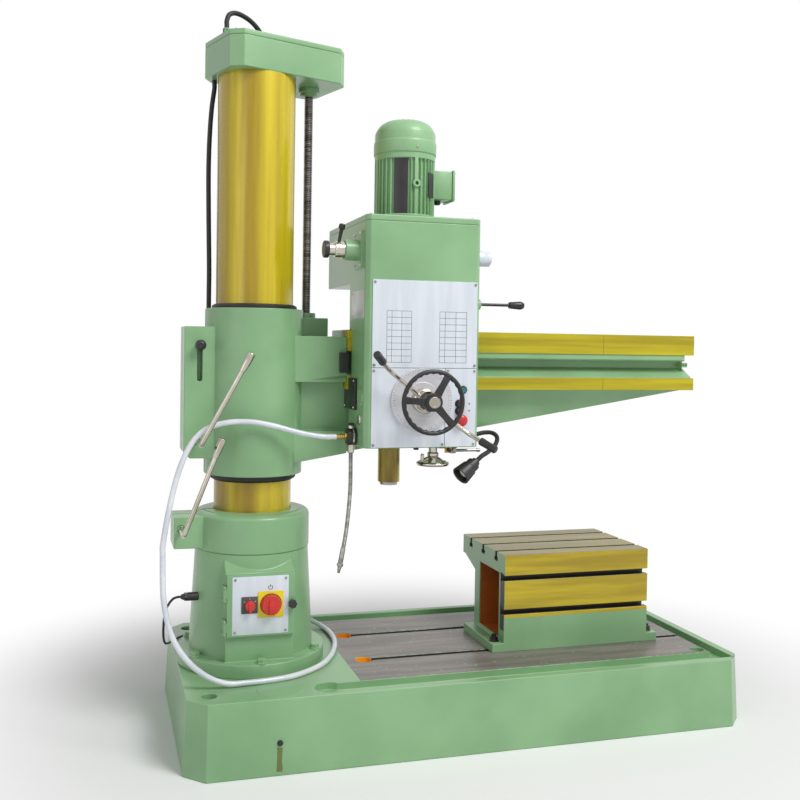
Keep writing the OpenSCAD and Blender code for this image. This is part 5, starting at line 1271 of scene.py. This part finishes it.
def addBolts():
    count, ring, z, radius, height = flangeBolts.values()
    shape = bmesh.new()
    for t in around(count, -math.pi / 2):
        hexBolt(shape, spoke(t)[0] * ring + Vector((0, 0, z)), radius, height)
    makePiece("flangeBolts", shape, "sagePaint", "base", ["hold_down_bolts"])
    xs, y, z, radius, height = tableBolts.values()
    shape = bmesh.new()
    for x in xs:
        hexBolt(shape, (x, y, z), radius, height)
        turned(shape, [(0, 10), (9, 10), (9, 23), (8, 24), (0, 24)], (x, y, z), steps=24)
    makePiece("tableBolts", shape, "darkSteel", "base", ["hold_down_bolts"])


def addBaseFittings():
    shape = bmesh.new()
    socket = [(0, 0), (11.8, 0), (11.8, 11), (10.5, 12.5), (6.5, 12.5), (6.5, 6), (0, 6)]
    for x, y in levelScrews["places"]:
        turned(shape, socket, (x, y, levelScrews["z"]), steps=28)
    makePiece("levelScrews", shape, "chrome", "base")
    x, y, r = baseCover.values()
    shape = bmesh.new()
    turned(shape, [(0, -2), (r, -2), (r, 0.4), (r - 1, 1.2), (0, 1.2)], (x, y, topZ), steps=72)
    makePiece("baseCover", shape, "sagePaint", "base")
    x, z, frontFoot, taper, slopeZ = drainPlug.values()
    place = (x, frontFoot - taper * (topZ - slopeZ) / topZ, z)
    shape = bmesh.new()
    turned(shape, [(0, -6), (9, -6), (9, 2), (8, 4), (0, 4)], place, toFront, 32)
    turned(shape, [(0, 3), (6, 3), (6, 7), (5, 8.5), (0, 8.5)], place, toFront, 6, 1)
    makePiece("drainPlug", shape, ["blackPlastic", "darkSteel"], "base")


# cable gland on the pedestal and the pump behind it
gland = dict(x=-205, y=-62)
pump = dict(x=30, y=330, fins=24, finZ=97, finTall=118, screwRing=53, outlet=(332, 288), inlet=(331, 356))


def addGland():
    low, high = boxOf("cable_gland")
    place = (gland["x"], gland["y"], (low.z + high.z) / 2)
    shape = bmesh.new()
    turned(shape, [(0, -60), (14, -60), (14, 14), (12.5, 16)], place, toLeft, 36)
    turned(shape, [(0, 12), (14, 12), (14, 25), (12.5, 26), (0, 26)], place, toLeft, 6)
    cone = [(4.2, 22), (11, 22), (10, 30), (6.5, 36.8), (4.2, 36.8)]
    turned(shape, cone, place, toLeft, 32, bored=True)
    makePiece("cableGland", shape, "blackPlastic", "base", ["cable_gland"])


def addPump():
    x, y, fins, finZ, finTall, screwRing, outlet, inlet = pump.values()
    foot = Vector((x, y, topZ))
    shape = bmesh.new()
    barrel = [(0, 0.2), (60, 0.2), (62, 2), (62, 8), (60, 10), (38, 11), (38, 78), (44, 80), (46, 84),
              (46, 96), (43, 98), (43, 214), (46, 216), (46, 228), (44, 232), (34, 245), (0, 246)]
    turned(shape, barrel, foot, steps=64)
    for t in around(fins):
        fin = [(41, -1.6), (46, -1), (46, 1), (41, 1.6)]
        prism(shape, fin, foot + Vector((0, 0, finZ)), *spoke(t), finTall)
    for t in around(4, math.pi / 4):
        screwHead(shape, foot + spoke(t)[0] * screwRing + Vector((0, 0, 10)), toTop, 5, 1)
    barbs = [(0, 0), (14, 0), (14, 58), (12, 60), (6.5, 60.5), (8, 66), (6.5, 70), (8, 74), (6.5, 82),
             (0, 82)]
    turned(shape, barbs, (x, *outlet), toRight, 28, 1)
    cone = [(0, 20), (9, 20), (9, 46), (7.5, 52), (4.1, 52), (4.1, 30), (0, 30)]
    turned(shape, cone, (x, *inlet), toLeft, 24, 2)
    makePiece("coolantPump", shape, ["sagePaint", "machined", "blackPlastic"], "base", ["coolant_pump"])


addBolts()
addBaseFittings()
addGland()
addPump()
print("base pieces made")


# screws and ruled grids on the head's plates
panel = dict(screw=4.5, upperX=(337, 680), upperZ=(1228, 1493),
             lower=((337, 971), (337, 1210), (572, 971), (680, 971), (680, 1210), (588, 1210)))
grids = dict(spans=((378, 461), (557, 650)), z=(1237, 1402), rows=8, columns=(0, 0.2, 0.6, 1), half=0.5,
             proud=0.25)
arrows = dict(x=664, tips=((1104, 1), (1080, -1)))


def addPlateFittings():
    face = feed["plateFace"]
    shape = bmesh.new()
    screwRows(shape, panel["upperX"], [face], panel["upperZ"], toFront, panel["screw"])
    for x, z in panel["lower"]:
        screwHead(shape, (x, face, z), toFront, panel["screw"])
    makePiece("plateScrews", shape, "machined", "head")
    spans, (z0, z1), rows, columns, half, proud = grids.values()
    shape = bmesh.new()
    for x0, x1 in spans:
        for k in range(rows + 1):
            z = z0 + (z1 - z0) * k / rows
            raised(shape, rectangle(x0, z - half, x1, z + half), face, proud)
        for share in columns:
            x = x0 + (x1 - x0) * share
            raised(shape, rectangle(x - half, z0, x + half, z1), face, proud)
    for z, point in arrows["tips"]:
        arrow = [(-3, -3 * point), (3, -3 * point), (0, 4 * point)]
        raised(shape, arrow, face, proud, middle=(arrows["x"], z))
    makePiece("plateMarks", shape, "ink", "head")


# cover, plate and caps on the head's left side
sideCover = dict(y=(-208, -75), z=(1078, 1181), proud=10, sink=0.5, index=0, soft=2, inset=8, screw=4)
sidePlate = dict(y=(-279, -124), z=(1377, 1468), proud=1.2, sink=0.4, index=3, soft=0.4, inset=7, screw=2.6)
sideCap = dict(y=-252, z=1121)
sideButton = dict(y=-246, z=1050)
bossScrews = dict(y=(-252, -182), z=(1548, 1650), proud=8)


def addHeadSide():
    shape = bmesh.new()
    for facts in (sideCover, sidePlate):
        ys, zs, proud, sink, index, soft, inset, screw = facts.values()
        face = headSide - proud
        block(shape, (face, ys[0], zs[0]), (headSide + sink, ys[1], zs[1]), index, soft)
        screwRows(shape, [face], grown(ys, -inset), grown(zs, -inset), toLeft, screw, 1)
    cap = [(0, -0.5), (30, -0.5), (30, 2), (28, 4), (22, 4.4), (21, 3.4), (0, 3.4)]
    turned(shape, cap, (headSide, *sideCap.values()), toLeft, 40, 2)
    button = [(0, -0.5), (17, -0.5), (17, 3), (15, 5.5), (9, 7), (0, 7.4)]
    turned(shape, button, (headSide, *sideButton.values()), toLeft, 36, 1)
    ys, zs, proud = bossScrews.values()
    screwRows(shape, [headSide - proud], ys, zs, toLeft, 4.5, 1)
    makePiece("headSidePieces", shape, ["blackPlastic", "chrome", "sagePaint", "dialSilver"], "head")


# screws and glands on the lids, and the arm's end stops
lidScrews = dict(x=(330, 678), y=(-270, 190), z=1709, radius=7)
capScrews = dict(x=(-125, 262), y=(-95, 95), z=2298, radius=7, turn=18)
capGlands = dict(left=(-112, -62), right=(14, 15))
stopScrews = dict(x=(1598, 1610), y=-104, z=1233.5, radius=3)


def addLidFittings():
    xs, ys, z, radius = lidScrews.values()
    shape = bmesh.new()
    screwRows(shape, xs, ys, [z], toTop, radius)
    makePiece("lidScrews", shape, "machined", "head")
    xs, ys, z, radius, turn = capScrews.values()
    across, side = spoke(math.radians(turn))
    shape = bmesh.new()
    for x in xs:
        for y in ys:
            screwHead(shape, across * x + side * y + Vector((0, 0, z)), toTop, radius)
    nut = [(8.3, 0), (16, 0), (16, 6), (14, 8), (14, 18), (11, 21.7), (8.3, 21.7)]
    turned(shape, nut, (*capGlands["left"], z), steps=6, index=1, bored=True)
    cone = [(8.3, 0), (16, 0), (16, 6), (12, 9), (10, 14), (8.3, 14)]
    turned(shape, cone, (*capGlands["right"], z), steps=24, index=1, bored=True)
    makePiece("capFittings", shape, ["machined", "blackPlastic"], "column")


def addEndStops():
    shape = castCopy("end_stops", 0.8, 2)
    for face in shape.faces:
        face.material_index = int(face.calc_center_median().x > 1000)
    xs, y, z, radius = stopScrews.values()
    screwRows(shape, xs, [y], [z], toFront, radius)
    makePiece("endStops", shape, ["blackPlastic", "sagePaint"], "arm", ["end_stops"],
              even=True)


addPlateFittings()
addHeadSide()
addLidFittings()
addEndStops()
print("head pieces made")


# nodes that stay as they are, with their finish
kept = dict(inner_column="machined", column_bearings="machined", elevating_motor="blackPlastic",
            screw_gear="darkSteel", drive_gear="darkSteel", traverse_rack="sagePaint",
            traverse_pinion="machined")


def finishKept():
    for name, label in kept.items():
        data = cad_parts[name].data
        data.materials.clear()
        data.materials.append(finish[label])
        data.shade_smooth()
        data.set_sharp_from_angle(angle=math.radians(30))


finishKept()


# floor, backdrop light and lamps, in metres
studio = dict(worldStrength=0.36, floorSide=60, floorPlace=(0.7, 0, -0.0005), fadeFrom=1.0, fadeTo=2.1)
lamps = dict(
    keyLight=dict(power=290, size=2.6, place=(2.6, -3.7, 5.8)),
    fillLight=dict(power=20, size=2.5, place=(-4.2, -3.4, 2.4)),
)
lampAim = Vector((0.5, 0, 1.1))


def seenRays(tree):
    rays = addNode(tree, "ShaderNodeLightPath").outputs
    seen = maths(tree, "MAXIMUM", rays["Is Camera Ray"], rays["Is Transmission Ray"])
    return maths(tree, "MAXIMUM", seen, rays["Is Glossy Ray"])


def addBackdrop():
    world = bpy.data.worlds.new("studio")
    scene.world = world
    world.use_nodes = True
    tree = world.node_tree
    strength = mixValue(tree, seenRays(tree), studio["worldStrength"], 1.0)
    plug(tree, tree.nodes["Background"], {"Color": (1, 1, 1, 1), "Strength": strength})


def addFloor():
    material, tree, shader = newMaterial("studioFloor")
    plug(tree, shader, {"Base Color": tint(248, 248, 248), "Roughness": 0.9, "Specular IOR Level": 0.0})
    away = addNode(tree, "ShaderNodeVectorMath", {0: objectPlace(tree)}, operation="LENGTH").outputs["Value"]
    fade = multiply(tree, ramp(tree, away, studio["fadeFrom"], studio["fadeTo"]), seenRays(tree))
    glow = addNode(tree, "ShaderNodeEmission", {"Color": (1, 1, 1, 1), "Strength": 1.0}).outputs[0]
    both = addNode(tree, "ShaderNodeMixShader", {0: fade, 1: shader.outputs[0], 2: glow}).outputs[0]
    tree.links.new(both, tree.nodes["Material Output"].inputs["Surface"])
    shape = bmesh.new()
    bmesh.ops.create_grid(shape, x_segments=2, y_segments=2, size=studio["floorSide"] / 2)
    data = bpy.data.meshes.new("studioFloor")
    shape.to_mesh(data)
    shape.free()
    data.materials.append(material)
    floor = bpy.data.objects.new("studioFloor", data)
    floor.location = studio["floorPlace"]
    scene.collection.objects.link(floor)


def addLamps():
    for name, facts in lamps.items():
        lamp = bpy.data.lights.new(name, "AREA")
        lamp.energy = facts["power"]
        lamp.size = facts["size"]
        holder = bpy.data.objects.new(name, lamp)
        holder.location = facts["place"]
        holder.rotation_euler = (lampAim - holder.location).to_track_quat("-Z", "Y").to_euler()
        scene.collection.objects.link(holder)


addBackdrop()
addFloor()
addLamps()
print("stage lit")
